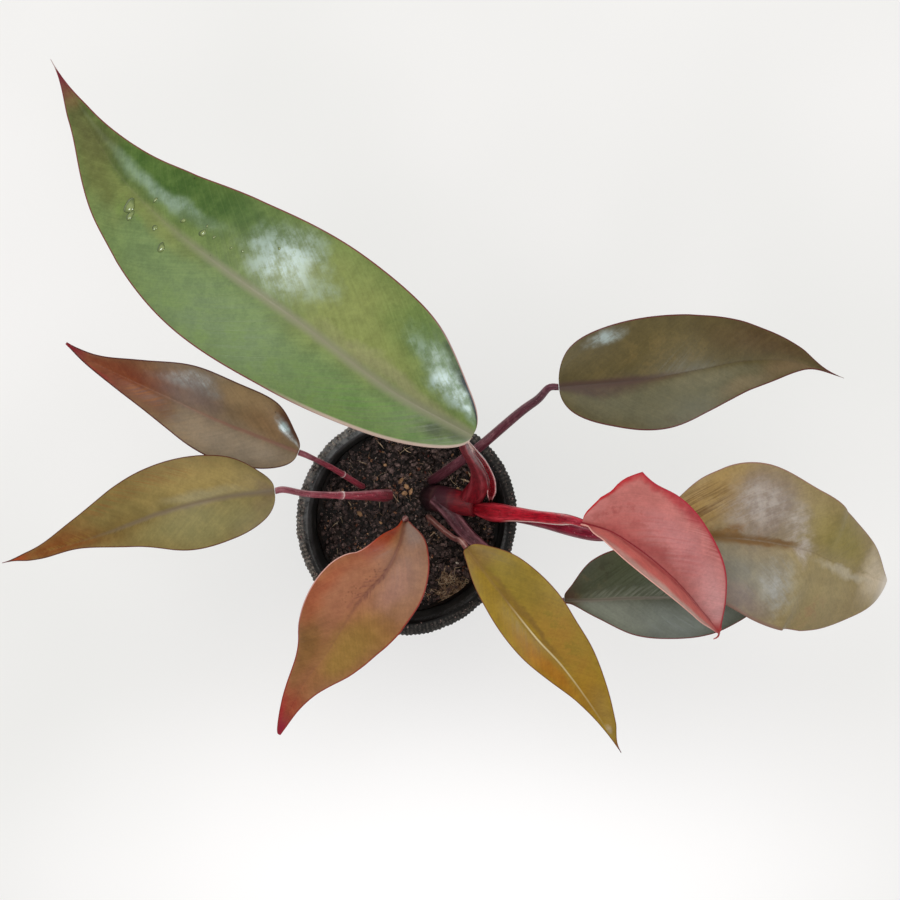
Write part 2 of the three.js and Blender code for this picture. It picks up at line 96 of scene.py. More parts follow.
# Each leaf: the midrib from the base of the blade to its tip, the half-widths at even stations, and,
# in degrees, how steeply each half rises from the midrib (fold) and how far it bends over (curl).
# wave is the height, count and start of the wave of the margin. taper is the place from which the
# blade narrows more, and the share of its width that is left. lobes are bumps of the margin: the
# side, the place, the reach and the height. thread is the dry thread at the tip.
# petiole is the line of the stalk, radii its thickness, ending its last two points, bend how far
# before the blade it turns into the midrib's direction, and neck its radius there. knots are the
# places of pale rings. scars are pale rings on one side: the place, the turn and both reaches.
LEAVES = {
    "green_large": {
        "midrib": [(33.5, 45, 214), (-3, 65, 226), (-42, 94, 228), (-77, 119, 221), (-107, 143, 210),
                   (-132, 170, 197), (-167, 225, 178)],
        "left": [11.5, 21.5, 32, 34.5, 22.5, 8.5, 3.5],
        "right": [17, 36, 40, 33.5, 20, 6, 1],
        "fold": {"left": [14, 6, 8], "right": [20, 8, 6]},
        "curl": {"left": [-16, -12, -6], "right": [-30, -14, -6]},
        "wave": (0.8, 2, 0.6),
        "taper": (0.88, 0.12),
        "petiole": [(36.2, 14, 109), (37.6, 20, 124), (36.6, 28, 144), (33.8, 33.7, 165), (30.2, 39.3, 188)],
        "radii": [4.8, 3.9, 2.9, 2.5, 2.3],
        "ending": [(29.2, 42.6, 203), (30.4, 46.2, 212.6)],
        "stalk": "clasp",
    },
    "bronze_left": {
        "midrib": [(-54, 37.5, 140), (-75, 46, 146), (-97, 55, 149), (-116, 64, 148), (-138, 74, 146),
                   (-156, 83, 148), (-168, 92, 153)],
        "left": [9.5, 16, 18.5, 14.5, 9, 4, 1.5],
        "right": [9, 19.5, 21.5, 20.5, 12.5, 5, 1],
        "fold": {"left": [16, 10, 14], "right": [20, 16, 20]},
        "curl": {"left": [-10, -6, 0], "right": [-50, -16, 0]},
        "wave": (1.4, 3, 0),
        "petiole": [(-25.5, 18.5, 62), (-25.5, 18.5, 88), (-34.5, 25.3, 104), (-41, 30, 116)],
        "radii": [1.8, 1.8, 1.6, 1.5],
        "knots": [0.51],
        "stalk": "wine",
    },
    "olive_left": {
        "midrib": [(-63, 18.4, 160), (-90, 15, 167), (-117, 8, 166), (-145, -2, 158), (-175, -11, 148),
                   (-205, -19, 140)],
        "left": [13, 20.5, 21.5, 11, 3.5, 3, 1],
        "right": [10, 20, 23.5, 20, 11.5, 3.5, 1],
        "fold": {"left": [10, 8, 12], "right": [10, 8, 12]},
        "curl": {"left": [-14, -10, -4], "right": [-14, -10, -4]},
        "wave": (0.7, 2, 1.2),
        "taper": (0.9, 0.2),
        "petiole": [(-11.5, 13.5, 62), (-11.5, 13.5, 88), (-18, 14.4, 108), (-30, 15, 126),
                    (-47.5, 16.4, 146)],
        "radii": [3.4, 3.5, 3.5, 2.5, 1.9],
        "knots": [0.63],
        "stalk": "wine",
    },
    "copper_front": {
        "midrib": [(0, 1.5, 134), (-2, -9, 146), (-9, -23, 149), (-20, -35, 147), (-29, -48, 142),
                   (-40, -66, 130), (-55, -87, 115), (-70, -117, 98)],
        "left": [6.5, 19.5, 26, 21, 12, 4.5, 1.5],
        "right": [4, 14.5, 24.5, 21.5, 11, 6.5, 3],
        "fold": {"left": [40, 14, 16], "right": [40, 18, 16]},
        "curl": {"left": [-20, -20, -10], "right": [-20, -20, -10]},
        "wave": (0.8, 2, 2),
        "petiole": [(0, -4, 62), (0, -4, 88), (0.3, -1.5, 112)],
        "radii": [1.9, 1.9, 1.8],
        "bend": 2.5,
        "stalk": "russet",
    },
    "gold_front": {
        "midrib": [(32, -12, 134), (49, -34, 141), (67, -57, 138), (82, -74, 130), (99, -98, 116),
                   (117, -127, 98)],
        "left": [9.5, 19.5, 23.5, 19.5, 13, 6.5, 2.5],
        "right": [4.5, 9.5, 12.5, 11, 5, 1.5, 0.7],
        "fold": {"left": [24, 16, 12], "right": [24, 18, 12]},
        "curl": {"left": [-24, -20, -10], "right": [-24, -20, -10]},
        "wave": (0.6, 2, 0.3),
        "taper": (0.86, 0.15),
        "petiole": [(11.7, 1.4, 62), (11.7, 1.4, 88), (17.5, -2.8, 106), (25, -7.5, 121)],
        "radii": [1.9, 1.9, 1.7, 1.6],
        "stalk": "russet",
    },
    "dark_right": {
        "midrib": [(84, -41, 118), (101, -40, 123), (119, -39, 124), (138, -39, 122), (167, -39, 116),
                   (195, -40, 106)],
        "left": [8, 21.5, 27, 25, 17.5, 9, 2.5],
        "right": [2.5, 9.5, 19, 21.5, 20, 13, 4.5],
        "fold": {"left": [14, 10, 10], "right": [14, 10, 10]},
        "curl": {"left": [-16, -14, -6], "right": [-16, -14, -6]},
        "wave": (0.8, 2, 1),
        "petiole": [(15.5, 12.5, 98.5), (22.3, 5.9, 102), (34.2, -8.4, 105.5), (57, -26, 111)],
        "radii": [4.6, 4.4, 3.5, 2.7],
        "stalk": "dark",
    },
    "bronze_right": {
        "midrib": [(123, 0, 168), (149, -3, 175), (172, -5, 174), (196, -10, 168), (211, -16, 158),
                   (227, -22, 145), (252, -31, 124)],
        "left": [12, 29.5, 37.5, 30, 24, 16.5, 5],
        "right": [9, 24, 36.5, 41, 35.5, 23.5, 12.5],
        "fold": {"left": [14, 12, 10], "right": [14, 12, 10]},
        "curl": {"left": [-16, -24, -20], "right": [-16, -24, -20]},
        "wave": (1, 2, 2.4),
        "petiole": [(31, 8.3, 99.5), (46, 4.8, 104), (58, 3.5, 114.5), (72, 1.4, 130), (97, -3.9, 150)],
        "radii": [2.7, 3.1, 3.3, 3.5, 3.3],
        "stalk": "plum",
    },
    "red_new": {
        "midrib": [(83.5, 5.5, 203.9), (95, 2.2, 211), (106, -4.5, 214), (117, -13, 212), (128, -23, 206),
                   (138, -34, 198), (150, -47, 186)],
        "thread": [(150, -47, 186), (149.6, -48.8, 185.5), (148.7, -49.8, 185.2), (147.4, -50.4, 185)],
        "left": [5, 8.5, 14, 25.5, 28, 29.5, 28.5, 26, 23, 19, 14.5, 10, 6, 3, 1.5],
        "right": [2, 13, 26, 24, 16, 8, 3],
        "lobes": [("left", 0.165, 0.028, 3.6), ("left", 0.108, 0.014, -2.2), ("left", 0.075, 0.02, 1.2)],
        "fold": {"left": [20, 14, 30], "right": [70, 72, 70]},
        "curl": {"left": [-10, -14, 0], "right": [0, 0, 0]},
        "wave": (0.6, 2, 0),
        "petiole": [(34.5, 7.4, 102.5), (46, 5.7, 117.5), (57, 5.6, 134), (68.5, 5.3, 155), (76, 5.6, 178)],
        "radii": [2.4, 5.0, 3.9, 3.1, 3.0],
        "neck": 1.8,
        "ending": [(79.4, 6.4, 198.2), (84.5, 5.0, 201.2)],
        "stalk": "red",
    },
    "olive_back": {
        "midrib": [(76, 69, 172), (113, 72, 179), (142, 77, 177), (168, 82, 169), (195, 82, 158),
                   (223, 75, 144)],
        "left": [18, 26.5, 29, 24.5, 14, 5, 1.5],
        "right": [13, 20.5, 25, 18, 11, 2, 1],
        "fold": {"left": [12, 8, 10], "right": [12, 8, 10]},
        "curl": {"left": [-18, -14, -6], "right": [-18, -14, -6]},
        "wave": (0.7, 2, 1.8),
        "taper": (0.8, 0.12),
        "petiole": [(14, 22, 64), (14, 22, 90), (24, 29, 108), (38, 39.5, 126), (58, 57, 149),
                    (66.5, 63.5, 162)],
        "radii": [2.8, 2.8, 2.7, 2.6, 2.5, 2.4],
        "scars": [(0.595, 2.1, 0.035, 0.5)],
        "stalk": "dark",
    },
}

STEM = {"points": [(13, 12, 60), (13, 12, 84), (17.5, 12, 95), (26, 10.5, 102), (37, 8.5, 108)],
        "radii": [7, 7, 7.6, 7.2, 6]}
SHEATH = {"points": [(45, 13.8, 112), (44.8, 19.5, 122), (43.4, 25, 133), (39.9, 31.5, 147),
                     (36.3, 36.5, 160), (32.2, 42.3, 175)],
          "widths": [2.8, 2.8, 2.6, 2.3, 1.6, 0.6],
          "depths": [2.8, 2.7, 2.5, 2.3, 1.6, 0.6]}
SHEATH_OUTLINE = [(-1, 0.2), (-0.55, 0.85), (0.1, 1), (0.7, 0.8), (1.3, 0.9), (0.85, 0.3),
                  (0.85, -0.3), (1.3, -0.9), (0.7, -0.8), (0.1, -1), (-0.55, -0.85), (-1, -0.2)]

# Colours of the leaves. A stroke is a soft patch of colour on the upper face: its middle along and
# across the blade (across runs from -1, the right margin, to 1, the left one), its reach each way,
# its colour, its strength, and its texture, if it has one. Some strokes are painted sheen, highlight
# and shade, as marked at each. A row of gloss is the same without colour and texture: a glossy coat,
# which also gets a painted pale sheen on its colour. line is how strong the crease on the midrib is,
# and line_from where it starts. edging is a strip along a margin: the side (1 is the left one), the
# start, the end, the width, the colour and the strength. thread is the colour of the last part of the tip.
LOOKS = {
    "green_large": {
        "base": "5d7236", "tip": "6a2030", "tip_start": 0.93, "margin": "6f2a30", "margin_width": 0.7,
        "thread": "b8a8a8",
        "edging": [(1, -1.0, 0.26, 1.9, "b8a49a", 0.85), (-1, -1.0, 0.12, 0.9, "b89c96", 0.8)],
        "rib": "80826a", "rib_width": (2.4, 1.6), "rib_reach": 0.62, "rib_strength": 0.8,
        "crease": "93887a", "vein": "8a9a5c", "under": "7d8c63", "rough": 0.34, "line": 0.15,
        "strokes": [
            # painted sheen: the left half is lighter and greyer
            (0.40, 0.55, 0.60, 0.70, "667e50", 0.85),
            (0.27, -0.45, 0.20, 0.60, "808a4c", 0.85),
            (0.10, -0.75, 0.14, 0.40, "4a6a2c", 0.7),
            (0.14, 0.60, 0.16, 0.45, "578235", 0.6, "streaked"),
            (0.64, -0.68, 0.28, 0.50, "34561c", 0.85),
            (0.78, 0.45, 0.12, 0.60, "5e622c", 0.75),
            (0.62, 0.10, 0.12, 0.20, "788046", 0.6),
            (0.76, -0.12, 0.12, 0.16, "3a4e25", 0.5),
            # painted sheen: a pale grey-green streak on the right half towards the tip
            (0.72, -0.36, 0.20, 0.20, "7c947c", 0.45),
            (0.15, -0.14, 0.16, 0.13, "8c8a68", 0.6),
            (0.04, 0.40, 0.07, 0.40, "323a0b", 0.8),
            # painted dark reflection at the curled base of the right margin
            (0.045, -0.94, 0.07, 0.16, "1d1e2d", 1.0),
            (0.86, 0.05, 0.09, 1.2, "4c4c28", 0.75),
            (0.94, 0.0, 0.06, 1.4, "6b5531", 0.85),
            (0.30, 0.75, 0.30, 0.35, "557036", 0.6, "blotched"),
            (0.66, 0.26, 0.05, 0.24, "5f7a34", 0.7, "blotched"),
        ],
        "gloss": [(0.40, -0.50, 0.070, 0.40, 0.9), (0.066, -0.62, 0.05, 0.28, 1.0),
                  (0.10, -0.68, 0.07, 0.20, 0.5), (0.64, -0.36, 0.12, 0.14, 0.35)],
    },
    "bronze_left": {
        "base": "7b6648", "tip": "7c141e", "tip_start": 0.93, "margin": "54221e", "margin_width": 0.8,
        "rib": "8c6058", "rib_width": (1.0, 0.5), "rib_reach": 0.45, "rib_strength": 0.6,
        "crease": "946c54", "vein": "8a6c48", "under": "7a5a50", "rough": 0.34,
        "strokes": [
            (0.22, 0.50, 0.26, 0.70, "a1927f", 0.85),
            (0.14, -0.45, 0.12, 0.55, "906f48", 0.75),
            (0.28, -0.80, 0.14, 0.32, "a88c64", 0.7),
            # painted sheen: a mauve-grey patch on the right half
            (0.50, -0.30, 0.20, 0.50, "756464", 0.7),
            (0.56, 0.45, 0.10, 0.40, "5e3806", 0.6),
            (0.80, 0.0, 0.26, 1.4, "763014", 0.9),
            (0.66, 0.30, 0.10, 0.35, "935a28", 0.6, "streaked"),
            (0.06, -0.85, 0.08, 0.40, "4c1306", 0.75),
            (0.46, -0.70, 0.10, 0.25, "4c2010", 0.5, "blotched"),
            (0.86, 0.90, 0.12, 0.30, "8c2028", 0.6),
        ],
        "gloss": [(0.07, -0.62, 0.06, 0.20, 1.5), (0.50, -0.60, 0.14, 0.22, 0.45)],
    },
    "olive_left": {
        "base": "796a3a", "tip": "9c3c12", "tip_start": 0.92, "margin": "5c3020", "margin_width": 0.6,
        "thread": "7c5058",
        "rib": "71644e", "rib_width": (1.5, 0.6), "rib_reach": 0.62, "rib_strength": 0.8,
        "crease": "6a5a4a", "vein": "8a7a48", "under": "7d6f4a", "rough": 0.38,
        "strokes": [
            (0.20, -0.45, 0.22, 0.50, "97844c", 0.8),
            (0.25, 0.50, 0.25, 0.60, "7e7a4c", 0.8),
            (0.24, -0.14, 0.14, 0.15, "969070", 0.6),
            (0.45, -0.80, 0.30, 0.30, "7d5a2e", 0.8, "streaked"),
            (0.62, 0.20, 0.16, 0.60, "6a5020", 0.7),
            (0.80, 0.0, 0.18, 1.4, "783a06", 0.85),
            (0.55, 0.02, 0.20, 0.14, "544212", 0.7, "streaked"),
            (0.74, -0.10, 0.10, 0.25, "86702e", 0.6, "streaked"),
            (0.02, 0.0, 0.05, 0.7, "6e5842", 0.6),
        ],
    },
    "copper_front": {
        "base": "93633f", "tip": "8c1c30", "tip_start": 0.93, "margin": "8a2c24", "margin_width": 0.9,
        "edging": [(-1, 0.14, 0.50, 0.6, "dcb4a8", 0.7), (-1, -1.0, 0.16, 1.2, "a8380c", 0.8)],
        "rib": "70443a", "rib_width": (1.1, 0.9), "rib_reach": 0.42, "rib_strength": 0.6,
        "crease": "8a5a44", "vein": "a07850", "under": "8c5a44", "rough": 0.40,
        "strokes": [
            (0.32, -0.40, 0.22, 0.60, "a26b50", 0.85),
            (0.14, 0.50, 0.20, 0.70, "8e6a58", 0.9),
            (0.04, 0.55, 0.06, 0.50, "93807a", 0.7),
            (0.22, 0.35, 0.07, 0.30, "a8786a", 0.4),
            (0.38, 0.70, 0.12, 0.40, "8c6534", 0.8),
            (0.09, -0.78, 0.15, 0.45, "8e3012", 0.95),
            (0.38, -0.85, 0.16, 0.28, "9a472b", 0.6),
            (0.54, 0.45, 0.20, 0.60, "927434", 0.85),
            (0.60, -0.60, 0.16, 0.50, "765323", 0.8),
            (0.76, 0.10, 0.12, 0.70, "905d3a", 0.6),
            (0.88, 0.0, 0.10, 1.4, "953928", 0.8),
            (0.92, -0.9, 0.12, 0.5, "a01828", 0.8),
            (0.27, -0.03, 0.10, 0.07, "562a30", 0.75, "streaked"),
            (0.29, -0.16, 0.09, 0.07, "6e3c3c", 0.55, "streaked"),
            (0.28, -0.26, 0.10, 0.14, "4a2024", 0.35, "dotted"),
        ],
    },
    "gold_front": {
        "base": "917a1e", "tip": "7a2c28", "tip_start": 0.955, "margin": "7a4a24", "margin_width": 0.5,
        "rib": "7e6030", "rib_width": (1.0, 0.6), "rib_reach": 0.60, "rib_strength": 0.5,
        "crease": "d4c89c", "vein": "a08a30", "under": "86752e", "rough": 0.38, "line": 0.9, "line_from": 0.3,
        "thread": "5c1c20",
        "strokes": [
            (0.45, 0.45, 0.26, 0.55, "a37a2e", 0.8),
            (0.18, 0.45, 0.18, 0.60, "857222", 0.8),
            (0.26, 0.11, 0.24, 0.10, "6c4c20", 0.85, "blotched"),
            (0.30, 0.10, 0.24, 0.09, "765828", 0.7),
            (0.22, -0.50, 0.20, 0.60, "8e7210", 0.85),
            (0.52, -0.60, 0.22, 0.50, "a46a00", 0.9),
            (0.40, 0.50, 0.26, 0.40, "74661c", 0.6, "blotched"),
            (0.72, 0.0, 0.16, 1.2, "a0741a", 0.7),
            (0.80, 0.50, 0.14, 0.50, "94783a", 0.7),
            (0.04, 0.0, 0.06, 1.2, "80603a", 0.6),
            (0.42, -0.20, 0.10, 0.20, "6e4410", 0.5, "blotched"),
            (0.88, 0.25, 0.03, 0.30, "b8a890", 0.6),
        ],
    },
    "dark_right": {
        "base": "4a4c3c", "tip": "4a2424", "tip_start": 0.95, "margin": "6a2020", "margin_width": 0.7,
        "rib": "7a7468", "rib_width": (0.9, 0.5), "rib_reach": 0.9, "rib_strength": 0.8,
        "crease": "2c2a26", "vein": "4c5444", "under": "5c4646", "rough": 0.36,
        "strokes": [
            (0.35, 0.60, 0.30, 0.60, "4f573c", 0.8),
            # painted sheen: the right half is lighter and greyer, in these two strokes
            (0.55, -0.50, 0.40, 0.60, "6c7369", 0.9),
            (0.20, -0.50, 0.20, 0.60, "7d8478", 0.85),
            (0.34, 0.14, 0.26, 0.14, "797f6f", 0.8, "streaked"),
            (0.02, 0.0, 0.07, 1.4, "5c463c", 0.8),
            (0.30, 0.50, 0.24, 0.40, "30381e", 0.6, "streaked"),
            (0.12, 0.50, 0.08, 0.40, "665c40", 0.8, "blotched"),
            (0.20, 0.65, 0.10, 0.25, "30301c", 0.7, "blotched"),
        ],
    },
    "bronze_right": {
        # the pale tip colour is a painted highlight
        "base": "8a7a52", "tip": "cdc5b9", "tip_start": 0.97, "margin": "8a6658", "margin_width": 0.7,
        "rib": "6a4c20", "rib_width": (2.2, 1.6), "rib_reach": 0.48, "rib_strength": 0.85,
        "crease": "54401e", "vein": "8f8460", "under": "7c7456", "rough": 0.38,
        "edging": [(-1, 0.10, 0.50, 2.2, "7c5c54", 0.6)],
        "strokes": [
            (0.16, 0.60, 0.20, 0.60, "9c8046", 0.85),
            (0.20, -0.50, 0.24, 0.60, "727167", 0.85),
            (0.34, 0.45, 0.13, 0.60, "766458", 0.85),
            # painted sheen: pale grey-mauve wisps, in these four strokes
            (0.30, 0.40, 0.10, 0.35, "968880", 0.8, "wispy"),
            (0.46, 0.30, 0.05, 0.34, "a49c98", 0.85, "wispy"),
            (0.51, 0.00, 0.04, 0.18, "b7b5c0", 0.85, "wispy"),
            (0.42, -0.50, 0.07, 0.35, "878789", 0.8, "wispy"),
            (0.31, 0.09, 0.17, 0.08, "6f4813", 0.9, "blotched"),
            (0.34, 0.05, 0.16, 0.06, "553208", 0.8, "streaked"),
            (0.44, 0.04, 0.05, 0.06, "5c3a10", 0.7),
            (0.30, 0.03, 0.18, 0.06, "78531a", 0.8),
            (0.66, 0.40, 0.18, 0.60, "857a3c", 0.85),
            (0.62, -0.40, 0.20, 0.60, "938660", 0.8),
            (0.27, -0.85, 0.15, 0.20, "726061", 0.6),
            # painted highlight: the pale band at the tip
            (0.92, 0.20, 0.10, 1.0, "cbbfaa", 0.7),
            (0.74, 0.06, 0.16, 0.05, "887b4f", 0.6),
            # painted highlight along the fold
            (0.74, -0.10, 0.17, 0.07, "b0a894", 0.7),
            (0.12, 0.55, 0.12, 0.45, "5c3c1c", 0.8, "streaked"),
            (0.62, -0.75, 0.10, 0.25, "83664c", 0.6, "blotched"),
        ],
        "gloss": [(0.30, 0.45, 0.16, 0.40, 0.12), (0.44, -0.55, 0.10, 0.40, 0.15)],
    },
    "red_new": {
        "base": "ac6460", "tip": "ab4444", "tip_start": 0.95, "margin": "a01c30", "margin_width": 1.2,
        "rib": "8c2430", "rib_width": (0.6, 0.4), "rib_reach": 1.2, "rib_strength": 0.6,
        "crease": "7c1420", "vein": "b87470", "under": "b0605c", "rough": 0.52, "line": 0.8,
        "edging": [(-1, 0.0, 0.9, 1.0, "e8bcb0", 0.8), (1, -1.0, 0.12, 1.8, "b41420", 0.8)],
        "strokes": [
            (0.30, 1.02, 0.44, 0.16, "971d26", 0.9),
            (0.05, 0.65, 0.08, 0.50, "b77270", 0.8),
            (0.45, 0.45, 0.24, 0.35, "bc7e80", 0.8),
            (0.18, 0.40, 0.16, 0.25, "7e2e2b", 0.6, "blotched"),
            (0.28, 0.08, 0.28, 0.10, "963c3c", 0.6),
            (0.14, 0.98, 0.14, 0.12, "a80c1c", 0.8),
            (0.40, 0.30, 0.30, 0.40, "a0504e", 0.5, "streaked"),
            (0.42, 0.14, 0.12, 0.10, "854b41", 0.7, "blotched"),
            (0.80, 0.50, 0.22, 0.60, "d19ea0", 0.8),
            (0.60, 0.85, 0.30, 0.16, "c08080", 0.5, "streaked"),
            (0.50, -0.50, 0.60, 0.40, "c4645c", 0.85),
            (0.52, -0.90, 0.36, 0.22, "bba89d", 0.8),
            (0.45, -0.12, 0.55, 0.10, "9d3737", 0.7),
            (0.03, -0.50, 0.05, 0.60, "9c3034", 0.7),
        ],
    },
    "olive_back": {
        "base": "524826", "tip": "552526", "tip_start": 0.93, "margin": "5a2424", "margin_width": 0.8,
        "rib": "4a3630", "rib_width": (2.0, 0.7), "rib_reach": 0.40, "rib_strength": 0.85,
        "crease": "40342a", "vein": "5f5638", "under": "5c4a44", "rough": 0.36, "thread": "a89c98",
        "strokes": [
            (0.35, 0.45, 0.26, 0.50, "5a4e24", 0.7),
            # painted sheen: the right half is lighter and greyer
            (0.35, -0.55, 0.40, 0.60, "5e5d46", 0.9),
            (0.48, -0.25, 0.16, 0.25, "6e6a52", 0.7),
            (0.58, -0.75, 0.12, 0.30, "776a50", 0.7),
            (0.78, -0.45, 0.14, 0.60, "715e42", 0.8),
            (0.70, 0.60, 0.25, 0.50, "4f391c", 0.7),
            (0.12, -0.12, 0.16, 0.22, "48342c", 0.8),
            (0.33, -0.88, 0.10, 0.16, "3c341e", 0.4, "blotched"),
            (0.30, 0.35, 0.20, 0.40, "665428", 0.4, "blotched"),
        ],
        "gloss": [(0.15, 0.84, 0.06, 0.16, 0.8)],
    },
}

# Kinds of stalk: the slot, and the colours at the foot, in the middle and at the top, of the blotches
# and the painted highlight on the ridges, of the knots and of the painted glints (flecks), and of the
# painted highlight along one edge that one kind has
STALKS = {
    "wine": ("petiole_wine", "8c3440", "a04252", "8a4c58", "cc98a0", "f0dcdc"),
    "russet": ("petiole_wine", "7c4c44", "8c5450", "7a4444", "c0a098", "e0ccc4"),
    "clasp": ("petiole_wine", "7c1220", "681822", "642430", "a8444e", "b85058"),
    "dark": ("petiole_dark", "46222c", "62323e", "5a3440", "a0707a", "ac848c"),
    "plum": ("petiole_dark", "5c1626", "74142a", "7a1830", "8c5460", "ac848c"),
    "red": ("petiole_red", "8c0c1c", "ac0a24", "8c1e30", "dc4454", "e06470", "f4d4cc"),
}

# Water drops on the large leaf, as x, y and the half-sizes
DROPS = [
    (-121.8, 149.2, 3.6, 2.6), (-121.1, 144.5, 2.4, 1.6), (-109.4, 151.3, 1.3, 0.8), (-95.5, 140.8, 1.2, 1.1),
    (-86.1, 134.6, 2.0, 1.3), (-108.9, 138.1, 1.6, 1.0), (-105.2, 128.7, 2.4, 1.6), (-84.0, 137.6, 0.7, 0.6),
    (-80.7, 132.4, 0.8, 0.6), (-72.7, 127.2, 0.7, 0.6), (-67.4, 125.6, 0.7, 0.5), (-50.8, 126.2, 0.7, 0.6),
]

# Loose pieces on the soil: how many of each kind are strewn, how far out, and where the coir is
CRUMBS = 5200
CHIPS = 420
GRAINS = 520
RIM_CRUMBS = 420
SHORT_FIBRES = 130
COIR_FIBRES = 150
SOIL_REACH = 48.5
COIR_REACH = 8.5
COIR = (24.0, -38.5)

# Chips of bark and white grains, as x, y and size, and fibres, as both ends and a radius
BARK = [(27.8, 16.9, 1.5), (-3.6, 21.6, 1.9), (-0.6, 18.2, 2.1), (1.6, 15.4, 1.6), (-1.8, 14.6, 1.5),
        (-26.6, 3.1, 1.7), (-14.9, -1.9, 1.4), (-12.7, 30.3, 1.5), (42.5, -4.6, 1.1), (45.8, -5.4, 1.0),
        (31.5, 21.9, 1.0), (34.5, 24.7, 0.9), (-8.8, -1.4, 0.8), (14.5, -7.0, 1.0), (-24.0, -14.0, 1.2),
        (40.0, 20.0, 1.1), (-33.0, 22.0, 1.0)]
GRIT = [(12.3, 2.5, 0.7), (27.3, -24.2, 0.9), (-37.7, 3.5, 0.5), (-37.2, 1.6, 0.4), (-8.9, -1.2, 0.6),
        (15.6, -7.6, 0.5), (-41.0, -15.0, 0.45), (-35.0, -20.0, 0.4), (-18.0, 34.0, 0.4), (20.5, 28.0, 0.4)]
FIBRES = [((-17.7, 44.2), (-13.3, 39.2), 0.3), ((-2.7, 40.3), (2.3, 36.9), 0.25),
          ((-33.8, 10.3), (-31, 6.4), 0.2), ((-9.5, 16.4), (-3.5, 8.3), 0.2),
          ((29.5, 22.5), (35.6, 20.3), 0.45), ((33.4, 26.6), (35.8, 23.4), 0.25),
          ((-28.0, 33.0), (-23.0, 31.0), 0.15), ((-42.0, -4.0), (-38.5, -1.0), 0.15),
          ((12.0, -9.5), (15.5, -6.4), 0.25)]


# Numbers and curves
def tone(code):
    """Linear colour of a hex sRGB code."""
    values = [int(code[i:i + 2], 16) / 255 for i in (0, 2, 4)]
    linear = [v / 12.92 if v <= 0.04045 else ((v + 0.055) / 1.055) ** 2.4 for v in values]
    return (*linear, 1.0)


def smooth(values, share):
    """Smooth curve through evenly spaced values or points, at shares of its length."""
    values = np.asarray(values, float)
    share = np.asarray(share, float)
    place = np.clip(share, 0, 1) * (len(values) - 1)
    i = np.minimum(place.astype(int), len(values) - 2)
    ends = np.concatenate([[2 * values[0] - values[1]], values, [2 * values[-1] - values[-2]]])
    a, b, c, d = ends[i], ends[i + 1], ends[i + 2], ends[i + 3]
    f = (place - i).reshape(place.shape + (1,) * (values.ndim - 1))
    return b + 0.5 * f * (c - a + f * (2 * a - 5 * b + 4 * c - d + f * (3 * b - 3 * c + d - a)))


def unit(vectors):
    return vectors / np.linalg.norm(vectors, axis=-1, keepdims=True)


def follow(points, shares):
    """Places, directions and the length of a smooth line through points, at shares of its length."""
    fine = np.linspace(0, 1, 801)
    line = smooth(points, fine)
    reach = np.concatenate([[0], np.cumsum(np.linalg.norm(np.diff(line, axis=0), axis=1))])
    turn = unit(np.gradient(line, axis=0))
    at = shares * reach[-1]
    places = np.stack([np.interp(at, reach, line[:, k]) for k in range(3)], axis=1)
    forward = unit(np.stack([np.interp(at, reach, turn[:, k]) for k in range(3)], axis=1))
    return places, forward, reach[-1]


def frames_along(forward, start):
    """Directions across a line that turn with it and don't twist, beginning near start."""
    side = np.asarray(start, float)
    rows = []
    for direction in forward:
        side = side - direction * side.dot(direction)
        side = side / np.linalg.norm(side)
        rows.append(side)
    rows = np.array(rows)
    return rows, np.cross(forward, rows)


def hump(value, centre, reach):
    return np.exp(-(((value - centre) / reach) ** 2))


def turns(sides):
    """Evenly spaced angles of a full turn."""
    return np.arange(sides) * 2 * math.pi / sides


def signed(angle):
    """Angles of a full turn as ones from minus to plus half a turn."""
    return np.where(angle > math.pi, angle - 2 * math.pi, angle)


def lattice(x, y, cell, seed):
    """Smooth random field, from -1 to 1, whose features are about cell wide."""
    size = 128
    table = np.random.default_rng(seed).uniform(-1, 1, (size, size))
    u, v = x / cell, y / cell
    i, j = np.floor(u).astype(int), np.floor(v).astype(int)
    f, g = u - i, v - j
    f, g = f * f * (3 - 2 * f), g * g * (3 - 2 * g)
    near = table[i % size, j % size] * (1 - f) + table[(i + 1) % size, j % size] * f
    far = table[i % size, (j + 1) % size] * (1 - f) + table[(i + 1) % size, (j + 1) % size] * f
    return near * (1 - g) + far * g


# Meshes
def placed(name, data):
    """A new object in the scene."""
    item = bpy.data.objects.new(name, data)
    bpy.context.scene.collection.objects.link(item)
    return item


class Form:
    """Points, faces and numbers at the points, in millimetres, joined from several bodies."""

    def __init__(self):
        self.points, self.faces, self.numbers, self.count = [], [], {}, 0

    def add(self, points, faces, **numbers):
        points = np.asarray(points, float).reshape(-1, 3)
        self.points.append(points)
        self.faces.extend([tuple(i + self.count for i in face) for face in faces])
        for key, values in numbers.items():
            self.numbers.setdefault(key, []).append(np.asarray(values, float).reshape(len(points), -1))
        self.count += len(points)

    def mesh(self, name):
        mesh = bpy.data.meshes.new(name)
        mesh.from_pydata((np.concatenate(self.points) * MM).tolist(), [], self.faces)
        return mesh

    def piece(self, name, material, slot, *nodes, sharp=None):
        """Makes a piece, which rides on the plant and stands for the given nodes."""
        mesh = self.mesh(name)
        for key, rows in self.numbers.items():
            rows = np.concatenate(rows)
            kind, field = ("FLOAT", "value") if rows.shape[1] == 1 else ("FLOAT_VECTOR", "vector")
            attribute = mesh.attributes.new(key, kind, "POINT")
            attribute.data.foreach_set(field, rows.astype(np.float32).ravel())
        mesh.polygons.foreach_set("use_smooth", [True] * len(mesh.polygons))
        if sharp is not None:
            mesh.set_sharp_from_angle(angle=math.radians(sharp))
        mesh.materials.append(material)
        item = placed(name, mesh)
        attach(item, "root")
        if nodes:
            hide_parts(*nodes)
        return item


